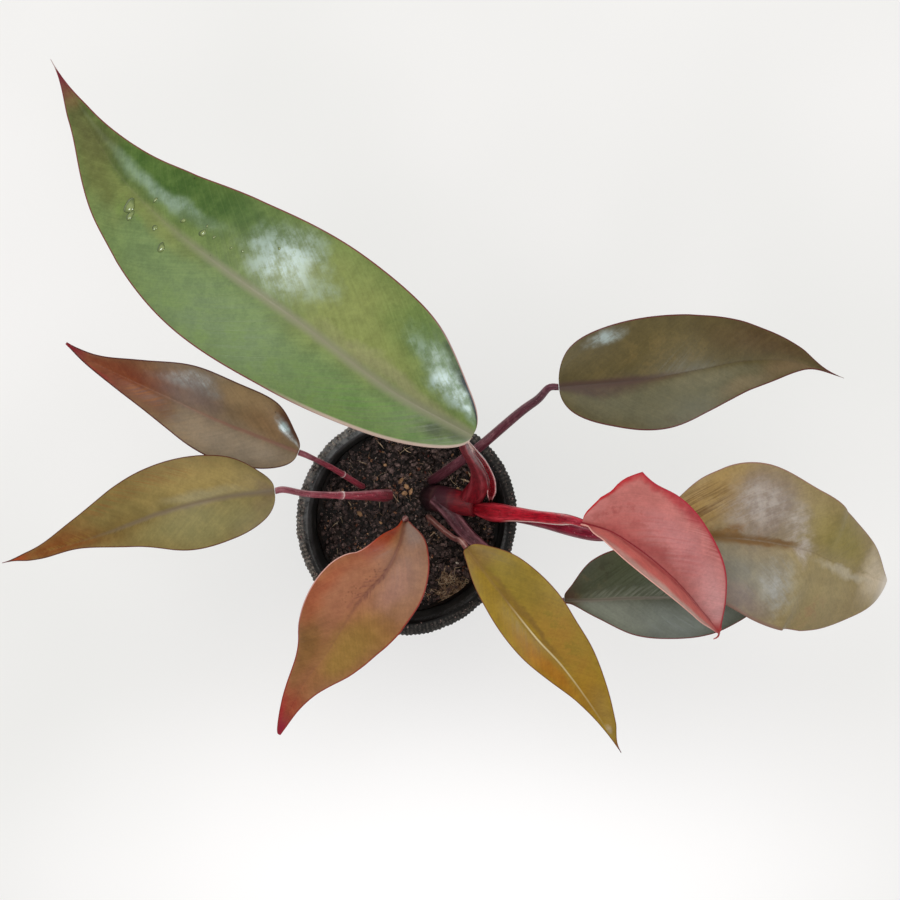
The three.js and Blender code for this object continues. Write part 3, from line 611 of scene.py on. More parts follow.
def sleeve(rows, sides):
    """Faces between rings of points that follow each other."""
    faces = []
    for i in range(rows - 1):
        for k in range(sides):
            a, b = i * sides + k, i * sides + (k + 1) % sides
            faces.append((a, b, b + sides, a + sides))
    return faces


def capped(rows, sides):
    """The same, closed by a flat face at each end."""
    last = (rows - 1) * sides
    return sleeve(rows, sides) + [tuple(range(sides))[::-1], tuple(range(last, last + sides))]


def fanned(rows, sides):
    """The same, closed at each end by triangles round a middle point. The two points come last."""
    faces = sleeve(rows, sides)
    bottom = rows * sides
    last = bottom - sides
    for k in range(sides):
        after = (k + 1) % sides
        faces += [(bottom, after, k), (bottom + 1, last + k, last + after)]
    return faces


def tube(points, radii, sides, steps, start=(0, 0, 1), section=None):
    """Rings round a line, and how far along and around it each point is. section gives the distance
    of each ring's points as a share of the radius."""
    shares = np.linspace(0, 1, steps + 1)
    centres, forward, _ = follow(points, shares)
    side, other = frames_along(forward, start)
    angle = turns(sides)
    radius = np.asarray(radii(shares) if callable(radii) else smooth(radii, shares))
    reach = np.repeat(radius[:, None], sides, axis=1)
    if section:
        reach = reach * section(shares[:, None], angle[None, :])
    ring = side[:, None] * np.cos(angle)[None, :, None] + other[:, None] * np.sin(angle)[None, :, None]
    points = centres[:, None] + ring * reach[..., None]
    around = np.broadcast_to(signed(angle), reach.shape)
    along = np.broadcast_to(shares[:, None], reach.shape)
    return points.reshape(-1, 3), along.ravel(), around.ravel()


# Node materials
class Shader:
    """A material's nodes. Each call gives back the output that the next one takes."""

    def __init__(self, name):
        self.material = bpy.data.materials.new(name)
        self.material.use_nodes = True
        self.tree = self.material.node_tree
        self.surface = self.tree.nodes["Principled BSDF"]

    def put(self, socket, value):
        if isinstance(value, bpy.types.NodeSocket):
            self.tree.links.new(value, socket)
        else:
            socket.default_value = value

    def add(self, kind, inputs, output=0, **settings):
        node = self.tree.nodes.new("ShaderNode" + kind)
        for key, value in settings.items():
            setattr(node, key, value)
        for key, value in inputs.items():
            self.put(node.inputs[key], value)
        return node.outputs[output]

    def math(self, operation, *values):
        return self.add("Math", dict(enumerate(values)), operation=operation)

    def sum(self, first, second):
        return self.math("ADD", first, second)

    def apart(self, first, second):
        return self.math("ABSOLUTE", self.math("SUBTRACT", first, second))

    def vector(self, operation, *values):
        output = 1 if operation == "LENGTH" else 0
        return self.add("VectorMath", dict(enumerate(values)), output, operation=operation)

    def ease(self, value, low, high, start=0.0, end=1.0):
        """Smooth change from start, at low, to end, at high."""
        inputs = {"Value": value, "From Min": low, "From Max": high, "To Min": start, "To Max": end}
        return self.add("MapRange", inputs, interpolation_type="SMOOTHSTEP")

    def fade(self, value, low, high):
        """1 below low, and 0 above high."""
        return self.ease(value, low, high, 1.0, 0.0)

    def mix(self, factor, first, second, blend="MIX"):
        inputs = {0: factor, 6: first, 7: second}
        return self.add("Mix", inputs, 2, data_type="RGBA", blend_type=blend)

    def shaded(self, colour, shade):
        return self.mix(1.0, colour, self.join(shade, shade, shade), blend="MULTIPLY")

    def times(self, *values):
        result = values[0]
        for value in values[1:]:
            result = self.math("MULTIPLY", result, value)
        return result

    def attribute(self, name, output="Vector"):
        return self.add("Attribute", {}, output, attribute_name=name)

    def split(self, vector):
        node = self.tree.nodes.new("ShaderNodeSeparateXYZ")
        self.put(node.inputs[0], vector)
        return node.outputs

    def join(self, *values):
        return self.add("CombineXYZ", dict(enumerate(values)))

    def place(self):
        return self.add("TexCoord", {}, "Object")

    def noise(self, vector, scale, detail=3.0, rough=0.5, output=0):
        inputs = {"Vector": vector, "Scale": scale, "Detail": detail, "Roughness": rough}
        return self.add("TexNoise", inputs, output)

    def cells(self, vector, scale, output="Distance"):
        return self.add("TexVoronoi", {"Vector": vector, "Scale": scale}, output)

    def bump(self, height, distance, strength):
        return self.add("Bump", {"Height": height, "Distance": distance, "Strength": strength})

    def finish(self, **values):
        names = {"colour": "Base Color", "rough": "Roughness", "normal": "Normal", "coat": "Coat Weight",
                 "coat_rough": "Coat Roughness", "specular": "Specular IOR Level",
                 "glow": "Emission Color", "glow_strength": "Emission Strength"}
        for key, value in values.items():
            self.put(self.surface.inputs[names[key]], value)
        return self.material


def blade_material(name, look):
    s = Shader("blade_" + name)
    along, across, face = s.split(s.attribute("leaf"))
    vein, middle, edge = s.split(s.attribute("measure"))
    drift = s.vector("SUBTRACT", s.noise(s.place(), 45.0, 4.0, 0.6, output=1), (0.5, 0.5, 0.5))
    wander = s.vector("MULTIPLY", drift, (0.16, 0.5, 0.0))
    spot = s.vector("ADD", s.join(along, across, 0.0), wander)
    streak_place = s.join(s.times(vein, 0.55), s.times(middle, 0.05), face)
    streaks = s.noise(streak_place, 1.0, 4.0, 0.6)
    blotches = s.noise(s.place(), 130.0, 4.0, 0.65)
    wisp_place = s.join(s.times(vein, 0.5), s.times(middle, 0.16), face)
    wisps = s.noise(s.vector("ADD", wisp_place, s.vector("MULTIPLY", drift, (3.0, 3.0, 0.0))), 1.0, 6.0, 0.7)
    textures = {
        "streaked": s.ease(streaks, 0.42, 0.62),
        "wispy": s.ease(s.sum(s.times(wisps, 0.4), s.times(blotches, 0.6)), 0.40, 0.60, 0.3, 1.0),
        "blotched": s.ease(blotches, 0.48, 0.62),
        "dotted": s.fade(s.cells(s.place(), 600.0), 0.25, 0.4),
    }

    def off_lines(gap):
        """Distance from the nearest of the lines along the veins, as a share of their gap."""
        return s.apart(s.math("FRACT", s.math("DIVIDE", vein, gap)), 0.5)

    def patch(at, over, reach, spread, strength, texture=None):
        offset = s.vector("SUBTRACT", spot, (at, over, 0.0))
        distance = s.vector("LENGTH", s.vector("MULTIPLY", offset, (1 / reach, 1 / spread, 0.0)))
        factor = s.ease(distance, 1.35, 0.25, 0.0, strength)
        return s.times(factor, textures[texture]) if texture else factor

    colour = tone(look["base"])
    for at, over, reach, spread, code, strength, *texture in look["strokes"]:
        colour = s.mix(patch(at, over, reach, spread, strength, *texture), colour, tone(code))
    gloss = 0.0
    for row in look.get("gloss", []):
        gloss = s.math("MAXIMUM", gloss, patch(*row, "wispy"))
    # mottling, streaks along the veins and the veins themselves
    colour = s.mix(s.ease(blotches, 0.35, 0.7, 0.0, 0.12), colour, tone(look["vein"]))
    grain = s.noise(s.place(), 700.0, 4.0, 0.7)
    shade = s.times(s.ease(streaks, 0.3, 0.75, 0.94, 1.06), s.ease(blotches, 0.3, 0.7, 0.90, 1.10))
    shade = s.times(shade, s.ease(grain, 0.35, 0.65, 0.94, 1.06))
    colour = s.shaded(colour, shade)
    lines = s.fade(off_lines(VEIN_GAP), 0.01, 0.07)
    hairs = s.fade(off_lines(VEIN_GAP / 6), 0.0, 0.3)
    colour = s.mix(s.times(lines, 0.07), colour, tone(look["vein"]))
    # midrib, margin and tip
    off = s.math("ABSOLUTE", s.sum(middle, s.times(s.math("SUBTRACT", blotches, 0.5), 1.2)))
    width = s.ease(along, 0.0, 1.0, *look["rib_width"])
    share = s.math("DIVIDE", off, width)
    reach = look["rib_reach"]
    band = s.times(s.fade(share, 0.2, 1.7), s.fade(along, reach - 0.2, reach + 0.1), look["rib_strength"])
    colour = s.mix(band, colour, tone(look["rib"]))
    first = look.get("line_from", -1.0)
    crease = s.times(s.fade(s.math("ABSOLUTE", middle), 0.1, 0.7), s.ease(along, 1.0, 0.3))
    crease = s.times(crease, look.get("line", 0.3), s.ease(along, first - 0.1, first + 0.1))
    colour = s.mix(crease, colour, tone(look["crease"]))
    tip = s.ease(along, look["tip_start"] - 0.05, look["tip_start"] + 0.04)
    colour = s.mix(tip, colour, tone(look["tip"]))
    rim = s.fade(edge, 0.25, look["margin_width"])
    colour = s.mix(rim, colour, tone(look["margin"]))
    for side, start, end, width, code, strength in look.get("edging", []):
        reach = s.times(s.ease(along, start - 0.05, start + 0.05), s.fade(along, end - 0.08, end + 0.08))
        same_side = s.ease(s.times(middle, side), 0.0, 1.0)
        strip = s.times(s.fade(edge, 0.5 * width, width), same_side, reach, strength)
        colour = s.mix(strip, colour, tone(code))
    thread = s.ease(along, THREAD_START, THREAD_START + 0.015)
    colour = s.mix(thread, colour, tone(look.get("thread", look["tip"])))
    # dark specks, the underside, and a painted pale sheen over the glossy patches
    specks = s.cells(s.place(), SPECK_SCALE)
    chosen = s.math("GREATER_THAN", s.split(s.cells(s.place(), SPECK_SCALE, "Color"))[0], 0.86)
    colour = s.mix(s.times(s.fade(specks, 0.03, 0.07), chosen, 0.7), colour, tone(SPECK_COLOUR))
    under = s.mix(s.times(lines, 0.5), tone(look["under"]), tone(look["vein"]))
    under = s.mix(s.fade(s.math("ABSOLUTE", middle), 1.0, 2.4), under, tone(look["rib"]))
    colour = s.mix(s.ease(face, 0.2, 0.45), under, colour)
    gloss = s.times(gloss, s.ease(face, 0.5, 0.9))
    gloss = s.times(gloss, s.ease(blotches, 0.3, 0.6, 0.6, 1.0))
    # painted sheen: a pale bluish tint over the glossy patches
    colour = s.mix(s.times(gloss, 0.7), colour, tone(PAINTED_SHEEN_COLOUR))
    gloss = s.times(gloss, 0.6)
    rough = s.ease(streaks, 0.3, 0.7, look["rough"], look["rough"] + 0.16)
    height = s.sum(s.times(lines, -0.25), s.times(hairs, -0.06))
    height = s.sum(height, s.times(s.noise(s.place(), 1500.0, 2.0), 0.25))
    height = s.sum(height, s.times(streaks, 0.3))
    normal = s.bump(height, 0.00008, 0.6)
    return s.finish(colour=colour, rough=rough, normal=normal, specular=0.22, coat=gloss, coat_rough=0.15)


def stalk_material(kind):
    s = Shader("stalk_" + kind)
    foot, centre, top, crest, knot_and_glint, *pale = map(tone, STALKS[kind][1:])
    along, around, ridge = s.split(s.attribute("stalk"))
    grain_place = s.join(s.times(along, 7.0), s.times(around, 2.0), 0.0)
    grain = s.noise(grain_place, 2.0, 5.0, 0.65)
    blotches = s.noise(s.place(), 220.0, 4.0, 0.6)
    colour = s.mix(s.ease(along, 0.05, 0.45), foot, centre)
    colour = s.mix(s.ease(along, 0.6, 1.0), colour, top)
    colour = s.shaded(colour, s.ease(grain, 0.38, 0.62, 0.6, 1.35))
    colour = s.mix(s.ease(blotches, 0.5, 0.75, 0.0, 0.3), colour, crest)
    # painted glints: small pale specks in the colour of the knots
    painted_glints = s.noise(s.place(), 800.0, 3.0, 0.7)
    colour = s.mix(s.ease(painted_glints, 0.60, 0.72, 0.0, 0.5), colour, knot_and_glint)
    # painted highlight along the raised lines beside the channel
    colour = s.mix(s.times(ridge, s.ease(grain, 0.35, 0.6, 0.3, 0.9)), colour, crest)
    colour = s.mix(s.ease(ridge, 1.1, 1.6), colour, knot_and_glint)
    # painted highlight: a pale strip along one side of the red stalk
    for edge in pale:
        strip = s.times(s.fade(s.apart(around, 1.3), 0.08, 0.2), s.ease(along, 0.24, 0.36))
        colour = s.mix(strip, colour, edge)
    height = s.sum(s.times(grain, 0.8), s.times(blotches, 0.4))
    rough = s.ease(blotches, 0.3, 0.7, 0.30, 0.46)
    return s.finish(colour=colour, rough=rough, normal=s.bump(height, 0.00025, 0.6), specular=0.22)


def stem_material():
    s = Shader("main_stem")
    along, around, ridge = s.split(s.attribute("stalk"))
    grain = s.noise(s.join(s.times(along, 6.0), s.times(around, 1.4), 0.0), 2.0, 5.0, 0.7)
    blotches = s.noise(s.place(), 260.0, 5.0, 0.65)
    colour = s.mix(s.ease(along, 0.5, 0.75), tone("1a0f13"), tone("4a202c"))
    colour = s.mix(s.ease(grain, 0.5, 0.75, 0.0, 0.6), colour, tone("5c3a40"))
    colour = s.mix(s.times(ridge, 0.6), colour, tone("6b4a44"))
    colour = s.mix(s.ease(blotches, 0.58, 0.7, 0.0, 0.6), colour, tone("2c1c1a"))
    # the red foot of the newest stalks closes round the end
    clasp = s.ease(s.sum(along, s.times(blotches, 0.20)), 0.83, 0.97)
    colour = s.mix(clasp, colour, s.mix(s.ease(grain, 0.3, 0.7), tone("540a18"), tone("8e1422")))
    height = s.sum(grain, blotches)
    rough = s.ease(grain, 0.3, 0.7, 0.34, 0.6)
    return s.finish(colour=colour, rough=rough, normal=s.bump(height, 0.0004, 0.7), specular=0.35)


def sheath_material():
    s = Shader("bud_sheath")
    along, keel, _ = s.split(s.attribute("sheath"))
    grain = s.noise(s.join(s.times(along, 2.0), s.times(keel, 4.0), 0.0), 3.0, 5.0, 0.6)
    colour = s.mix(s.ease(grain, 0.3, 0.7), tone("520812"), tone("80141e"))
    colour = s.mix(s.ease(keel, 0.2, 0.6), colour, tone("c03c4c"))
    # painted highlight: the keels turn whitish
    painted_keel_highlight = s.times(s.ease(keel, 0.5, 0.9), s.ease(grain, 0.35, 0.6, 0.5, 1.0))
    colour = s.mix(painted_keel_highlight, colour, tone("f8dcdc"))
    colour = s.mix(s.ease(along, 0.82, 0.92, 0.0, 0.9), colour, tone("e8ccc6"))
    colour = s.mix(s.fade(along, 0.0, 0.08), colour, tone("c87078"))
    return s.finish(colour=colour, rough=0.24, normal=s.bump(grain, 0.0003, 0.5), coat=0.4, coat_rough=0.12)


def pot_material():
    s = Shader("pot")
    x, y, z = s.split(s.place())
    radius = s.math("SQRT", s.sum(s.times(x, x), s.times(y, y)))
    dust = s.noise(s.place(), 160.0, 6.0, 0.7)
    fine = s.noise(s.place(), 1400.0, 3.0, 0.6)
    coarse = s.noise(s.place(), 620.0, 3.0, 0.7)
    top = s.ease(z, 0.096, 0.098)
    colour = s.mix(s.ease(dust, 0.35, 0.75), tone("212223"), tone("3c3b3a"))
    colour = s.mix(s.ease(dust, 0.54, 0.72, 0.0, 0.5), colour, tone("5a5652"))
    # dust on the flat top, its pale inner edge, and the worn ribs, with painted shade and painted sheen that
    # change from side to side
    # painted shade: the flat top darkens towards the lower right
    dark = s.times(top, s.ease(s.math("SUBTRACT", y, x), 0.04, -0.02, 0.0, 0.85))
    colour = s.mix(dark, colour, tone("0c0c0c"))
    # dust, with a painted sheen: a pale bluish grey on the flat top towards the upper left
    side = s.ease(s.math("SUBTRACT", y, x), 0.01, 0.08, 0.0, 0.8)
    colour = s.mix(s.times(top, s.ease(dust, 0.38, 0.6), side, 0.6), colour, tone("8a8f94"))
    lip = s.times(s.ease(radius, 0.0524, 0.0531), s.fade(radius, 0.0538, 0.0548))
    lip = s.times(lip, s.ease(coarse, 0.4, 0.6, 0.2, 1.0))
    colour = s.mix(s.times(top, lip, 0.5), colour, tone("74777a"))
    band = s.times(s.ease(radius, 0.0556, 0.0566), top, s.ease(coarse, 0.40, 0.62, 0.15, 1.0))
    band = s.times(band, s.ease(fine, 0.35, 0.6, 0.5, 1.0))
    # painted light: the dusty ribs are lighter towards the left and dimmer towards the right and front
    band = s.times(band, s.ease(s.math("SUBTRACT", x, s.times(y, 0.6)), 0.03, -0.045, 0.2, 1.0))
    # painted shade in the gaps between the ribs
    ribs = s.math("SINE", s.times(s.math("ARCTAN2", y, x), RIB_COUNT))
    band = s.times(band, s.ease(ribs, -0.8, 0.8, 0.35, 1.0))
    colour = s.mix(band, colour, tone("a49b92"))
    rough = s.ease(dust, 0.3, 0.7, 0.38, 0.6)
    height = s.sum(s.times(fine, 0.4), s.times(dust, 0.6))
    return s.finish(colour=colour, rough=rough, normal=s.bump(height, 0.0004, 0.7), specular=0.24)


def soil_material(name, dark, light, lift):
    s = Shader(name)
    shade = s.attribute("shade", "Fac")
    coarse = s.noise(s.place(), 420.0, 5.0, 0.7)
    fine = s.noise(s.place(), 1300.0, 4.0, 0.7)
    spread = s.times(s.ease(coarse, 0.35, 0.65), s.ease(fine, 0.35, 0.65))
    depth = s.ease(s.sum(s.times(shade, shade, 0.75), s.times(spread, 0.65)), 0.06, 1.1)
    colour = s.mix(depth, tone(dark), tone(light))
    colour = s.mix(s.ease(fine, 0.60, 0.70, 0.0, lift), colour, tone("8d7a6a"))
    height = s.sum(s.times(coarse, 0.6), fine)
    rough = s.ease(fine, 0.3, 0.7, 0.5, 0.85)
    return s.finish(colour=colour, rough=rough, normal=s.bump(height, 0.0008, 0.9))


def water_material():
    s = Shader("water")
    shade = s.attribute("shade", "Fac")
    # painted light and shade: pale greenish inside the drop, darker towards its rim and on one side
    colour = s.mix(s.ease(shade, 0.1, 0.5), tone("7f8e58"), tone("5f7040"))
    colour = s.mix(s.ease(shade, 0.5, 0.85), colour, tone("2c3c1c"))
    return s.finish(colour=colour, rough=0.2, specular=0.5, coat=1.0, coat_rough=0.03)


# Leaves
def lanes_of(count):
    """Shares across a half blade, closer together at the midrib and at the margin."""
    even = np.linspace(0, 1, count + 1)
    return even - 0.11 * np.sin(2 * math.pi * even)


def blade_form(name, leaf, steps, lane_count):
    phase = np.linspace(0, 1, steps + 1)
    share = (1 - np.cos(math.pi * phase)) / 2
    centre, forward, length = follow(leaf["midrib"], share)
    side = unit(np.cross([0, 0, 1], forward))
    up = np.cross(forward, side)
    half = lanes_of(lane_count)
    lanes = np.concatenate([-half[:0:-1], half])
    seed = sum(map(ord, name))
    wave_height, wave_count, wave_start = leaf["wave"]
    tops, unders, leaf_numbers, sizes = [], [], [], []
    for lane in lanes:
        which = "right" if lane < 0 else "left"
        sign = -1 if lane < 0 else 1
        width = smooth([BASE_HALF_WIDTH, *leaf[which], TIP_HALF_WIDTH], phase)
        for end, at, reach, height in leaf.get("lobes", []):
            width = width + height * np.exp(-np.abs((share - at) / reach)) * (end == which)
        first, ratio = leaf.get("taper", (0.9, 1))
        fall = np.clip((share - first) / (1 - first), 0, 1)
        width = width * (1 - (1 - ratio) * fall * fall * (3 - 2 * fall))
        start = np.radians(smooth(leaf["fold"][which], phase))
        bend = np.radians(smooth(leaf["curl"][which], phase))
        bend = np.where(np.abs(bend) < 1e-6, 1e-6, bend)
        angle = start + bend * abs(lane)
        out = sign * (width / bend) * (np.sin(angle) - np.sin(start))
        rise = (width / bend) * (np.cos(start) - np.cos(angle))
        swing = np.sin(2 * math.pi * wave_count * phase + wave_start + (1.3 if lane < 0 else 0))
        rise = rise + wave_height * lane * lane * swing * np.sin(math.pi * phase)
        normal = up * np.cos(angle)[:, None] - side * (sign * np.sin(angle))[:, None]
        middle = width * abs(lane)
        vein = share * length - 1.1 * middle - 0.4 * middle * abs(lane)
        calm = np.sin(math.pi * phase) ** 0.5 * min(1.0, 6 * abs(lane))
        swell = 0.30 * lattice(share * length + seed, sign * middle, 26.0, seed) * calm
        groove = -0.14 * hump(middle, 0, 1.3) * (1 - share)
        top = centre + side * out[:, None] + up * rise[:, None]
        top = top + normal * (swell + groove)[:, None]
        ridge = RIB_AT_BASE * (1 - share) * hump(middle, 0, 1.5)
        thick = np.minimum(BLADE_THICKNESS, 0.25 + 0.1 * (width - middle) + 0.02) + ridge + groove
        tops.append(top)
        unders.append(top - normal * np.maximum(thick, 0.2)[:, None])
        leaf_numbers.append(np.stack([share, np.full_like(share, lane), np.ones_like(share)], axis=1))
        sizes.append(np.stack([vein, sign * middle, width - middle], axis=1))
    tops, unders = np.stack(tops, axis=1), np.stack(unders, axis=1)
    leaf_numbers, sizes = np.stack(leaf_numbers, axis=1), np.stack(sizes, axis=1)
    below_numbers = leaf_numbers * [1, 1, 0]
    rim_numbers = leaf_numbers * [1, 1, 0.5]
    edges = (tops + unders) / 2
    edges[:, 0] += 0.12 * unit(tops[:, 0] - tops[:, 1])
    edges[:, -1] += 0.12 * unit(tops[:, -1] - tops[:, -2])
    last = len(lanes) - 1

    def ring(upper, rim, lower):
        return np.concatenate([upper, rim[:, last:], lower[:, ::-1], rim[:, :1]], axis=1)

    points = ring(tops, edges, unders)
    numbers = ring(leaf_numbers, rim_numbers, below_numbers)
    measures = ring(sizes, sizes, sizes)
    sides = points.shape[1]
    faces = [face[::-1] for face in sleeve(steps + 1, sides)]
    for first, flip in ((0, 1), (steps * sides, -1)):
        for k in range(last):
            quad = (first + k, first + k + 1, first + 2 * last + 1 - k, first + 2 * last + 2 - k)
            faces.append(quad[::flip])
        faces.append((first + last, first + last + 1, first + last + 2)[::flip])
        faces.append((first + sides - 2, first + sides - 1, first)[::flip])
    form = Form()
    form.add(points, faces, leaf=numbers, measure=measures)
    return form


def make_leaf(name, leaf):
    large = name == "green_large"
    steps, lane_count = (LARGE_STEPS, LARGE_LANES) if large else (BLADE_STEPS, BLADE_LANES)
    form = blade_form(name, leaf, steps, lane_count)
    if large:
        make_drops(form)
    if "thread" in leaf:
        line, _, _ = tube(leaf["thread"], [0.45, 0.4, 0.2], THREAD_SIDES, THREAD_STEPS)
        count = len(line)
        form.add(line, capped(THREAD_STEPS + 1, THREAD_SIDES), leaf=[(1, 0, 1)] * count,
                 measure=[(0, 2, 1)] * count)
    form.piece("leaf_" + name, blade_material(name, LOOKS[name]), "blade_" + name, "blade_" + name)


def make_drops(form):
    """Water drops on the large leaf, each a shallow cap that follows the blade."""
    blade = BVHTree.FromPolygons(np.concatenate(form.points).tolist(), form.faces)
    drops = Form()
    angle = turns(DROP_SIDES)
    for number, (x, y, long, wide) in enumerate(DROPS):
        rings, painted_shading = [], []
        for reach, share in ((0.96, -0.1), (1.0, 0.02), (0.94, 0.34), (0.8, 0.6), (0.55, 0.84), (0.25, 0.97)):
            swell = reach * (1 + 0.16 * np.sin(2 * angle + number) + 0.10 * np.sin(3 * angle + 2 * number))
            out, aside = long * swell * np.cos(angle), wide * swell * np.sin(angle)
            for place in np.stack([x + 0.6 * out - 0.8 * aside, y + 0.8 * out + 0.6 * aside], axis=1):
                foot = blade.ray_cast((*place, 300.0), (0, 0, -1))[0]
                rings.append(tuple(foot + Vector((0, 0, share * 0.5 * wide))))
            # painted shading: darker at the rim and on one side, paler in the middle
            painted_shading.extend(reach * (0.62 + 0.38 * np.cos(angle - 1.6)))
        drops.add(rings, capped(6, DROP_SIDES), shade=painted_shading)
    drops.piece("water_drops", water_material(), "blade_green_large")


def stalk_section(groove):
    """A channel along the upper side, with a raised line on each side of it."""
    def section(shares, angle):
        turn = signed(angle)
        channel = -groove * hump(turn, 0, 0.45)
        ridges = 0.4 * groove * (hump(turn, 0.8, 0.18) + hump(turn, -0.8, 0.18))
        return 1 + (channel + ridges) * np.sin(math.pi * np.clip(shares * 1.3 - 0.25, 0, 1))
    return section


def petiole_points(leaf):
    base = np.array(leaf["midrib"][0], float)
    forward = follow(leaf["midrib"], np.array([0.0]))[1][0]
    ending = [tuple(base - reach * forward) for reach in (leaf.get("bend", BEND_LENGTH), GAP)]
    return [*leaf["petiole"], *leaf.get("ending", ending)]


def clasp_section(shares, angle):
    """The wide foot of the large leaf's stalk, which closes round the bud sheath."""
    turn = signed(angle)
    wing = 0.85 * hump(turn, 1.5, 0.75) * hump(shares, 0.27, 0.22)
    foot = 0.5 * hump(turn, -1.3, 0.9) * hump(shares, 0.0, 0.14)
    return stalk_section(0.1)(shares, angle) + wing + foot


def make_stalk(name, leaf, materials):
    top = leaf["radii"][-1]
    radii = [*leaf["radii"], top * 0.9, leaf.get("neck", BASE_HALF_WIDTH)]
    knots = leaf.get("knots", [])

    def radius(shares):
        return smooth(radii, shares) + sum(0.35 * hump(shares, at, 0.014) for at in knots)

    kind = leaf["stalk"]
    section = clasp_section if kind == "clasp" else stalk_section(0.18)
    points, along, around = tube(petiole_points(leaf), radius, STALK_SIDES, STALK_STEPS,
                                 start=(0, 0.02, 1), section=section)
    ridge = hump(np.abs(around), 0.8, 0.22) + sum(2 * hump(along, at, 0.006) for at in knots)
    for at, turn, reach, spread in leaf.get("scars", []):
        spot = np.hypot((along - at) / reach, (around - turn) / spread)
        ridge = ridge + 0.6 * hump(spot, 0, 0.8) + 0.5 * hump(spot, 1, 0.2)
    form = Form()
    numbers = np.stack([along, around, ridge], axis=1)
    form.add(points, capped(STALK_STEPS + 1, STALK_SIDES), stalk=numbers)
    form.piece("stalk_" + name, materials[kind], STALKS[kind][0], "petiole_" + name)


def make_stem():
    def scars(shares):
        return sum(hump(shares, at, 0.012) for at in (0.62, 0.78))

    def radii(shares):
        return smooth(STEM["radii"], shares) + 0.12 * scars(shares) - 0.1

    points, along, around = tube(STEM["points"], radii, STEM_SIDES, STEM_STEPS)
    numbers = np.stack([along, around, 0.5 * scars(along)], axis=1)
    form = Form()
    form.add(points, capped(STEM_STEPS + 1, STEM_SIDES), stalk=numbers)
    form.piece("stem_main", stem_material(), "main_stem", "main_stem")


def make_sheath():
    steps, sides = SHEATH_STEPS, SHEATH_SIDES
    shares = np.linspace(0, 1, steps + 1)
    centre, forward, _ = follow(SHEATH["points"], shares)
    side = unit(np.array([0, 0, 1.0]) - forward * forward[:, 2:])
    front = np.cross(forward, side)
    closed = SHEATH_OUTLINE + SHEATH_OUTLINE[:1]
    outline = smooth(closed, np.linspace(0, 1, sides + 1)[:-1])
    width = smooth(SHEATH["widths"], shares)
    depth = smooth(SHEATH["depths"], shares) * (1 - 0.7 * hump(shares, 0, 0.10))
    points = (centre[:, None] + side[:, None] * (width[:, None] * outline[:, 0])[..., None]
              + front[:, None] * (depth[:, None] * outline[:, 1])[..., None])
    keel = np.broadcast_to(np.clip((outline[:, 0] - 0.85) / 0.45, 0, 1), (steps + 1, sides))
    along = np.broadcast_to(shares[:, None], keel.shape)
    numbers = np.stack([along, keel, np.zeros_like(keel)], axis=2)
    form = Form()
    form.add(points[:, ::-1], capped(steps + 1, sides), sheath=numbers[:, ::-1].reshape(-1, 3))
    form.piece("sheath_bud", sheath_material(), "bud_sheath", "bud_sheath")


# Pot
def inner_radius(z):
    return BASE_RADIUS - WALL + (RIM_MOUTH_RADIUS - BASE_RADIUS + WALL) * z / POT_HEIGHT


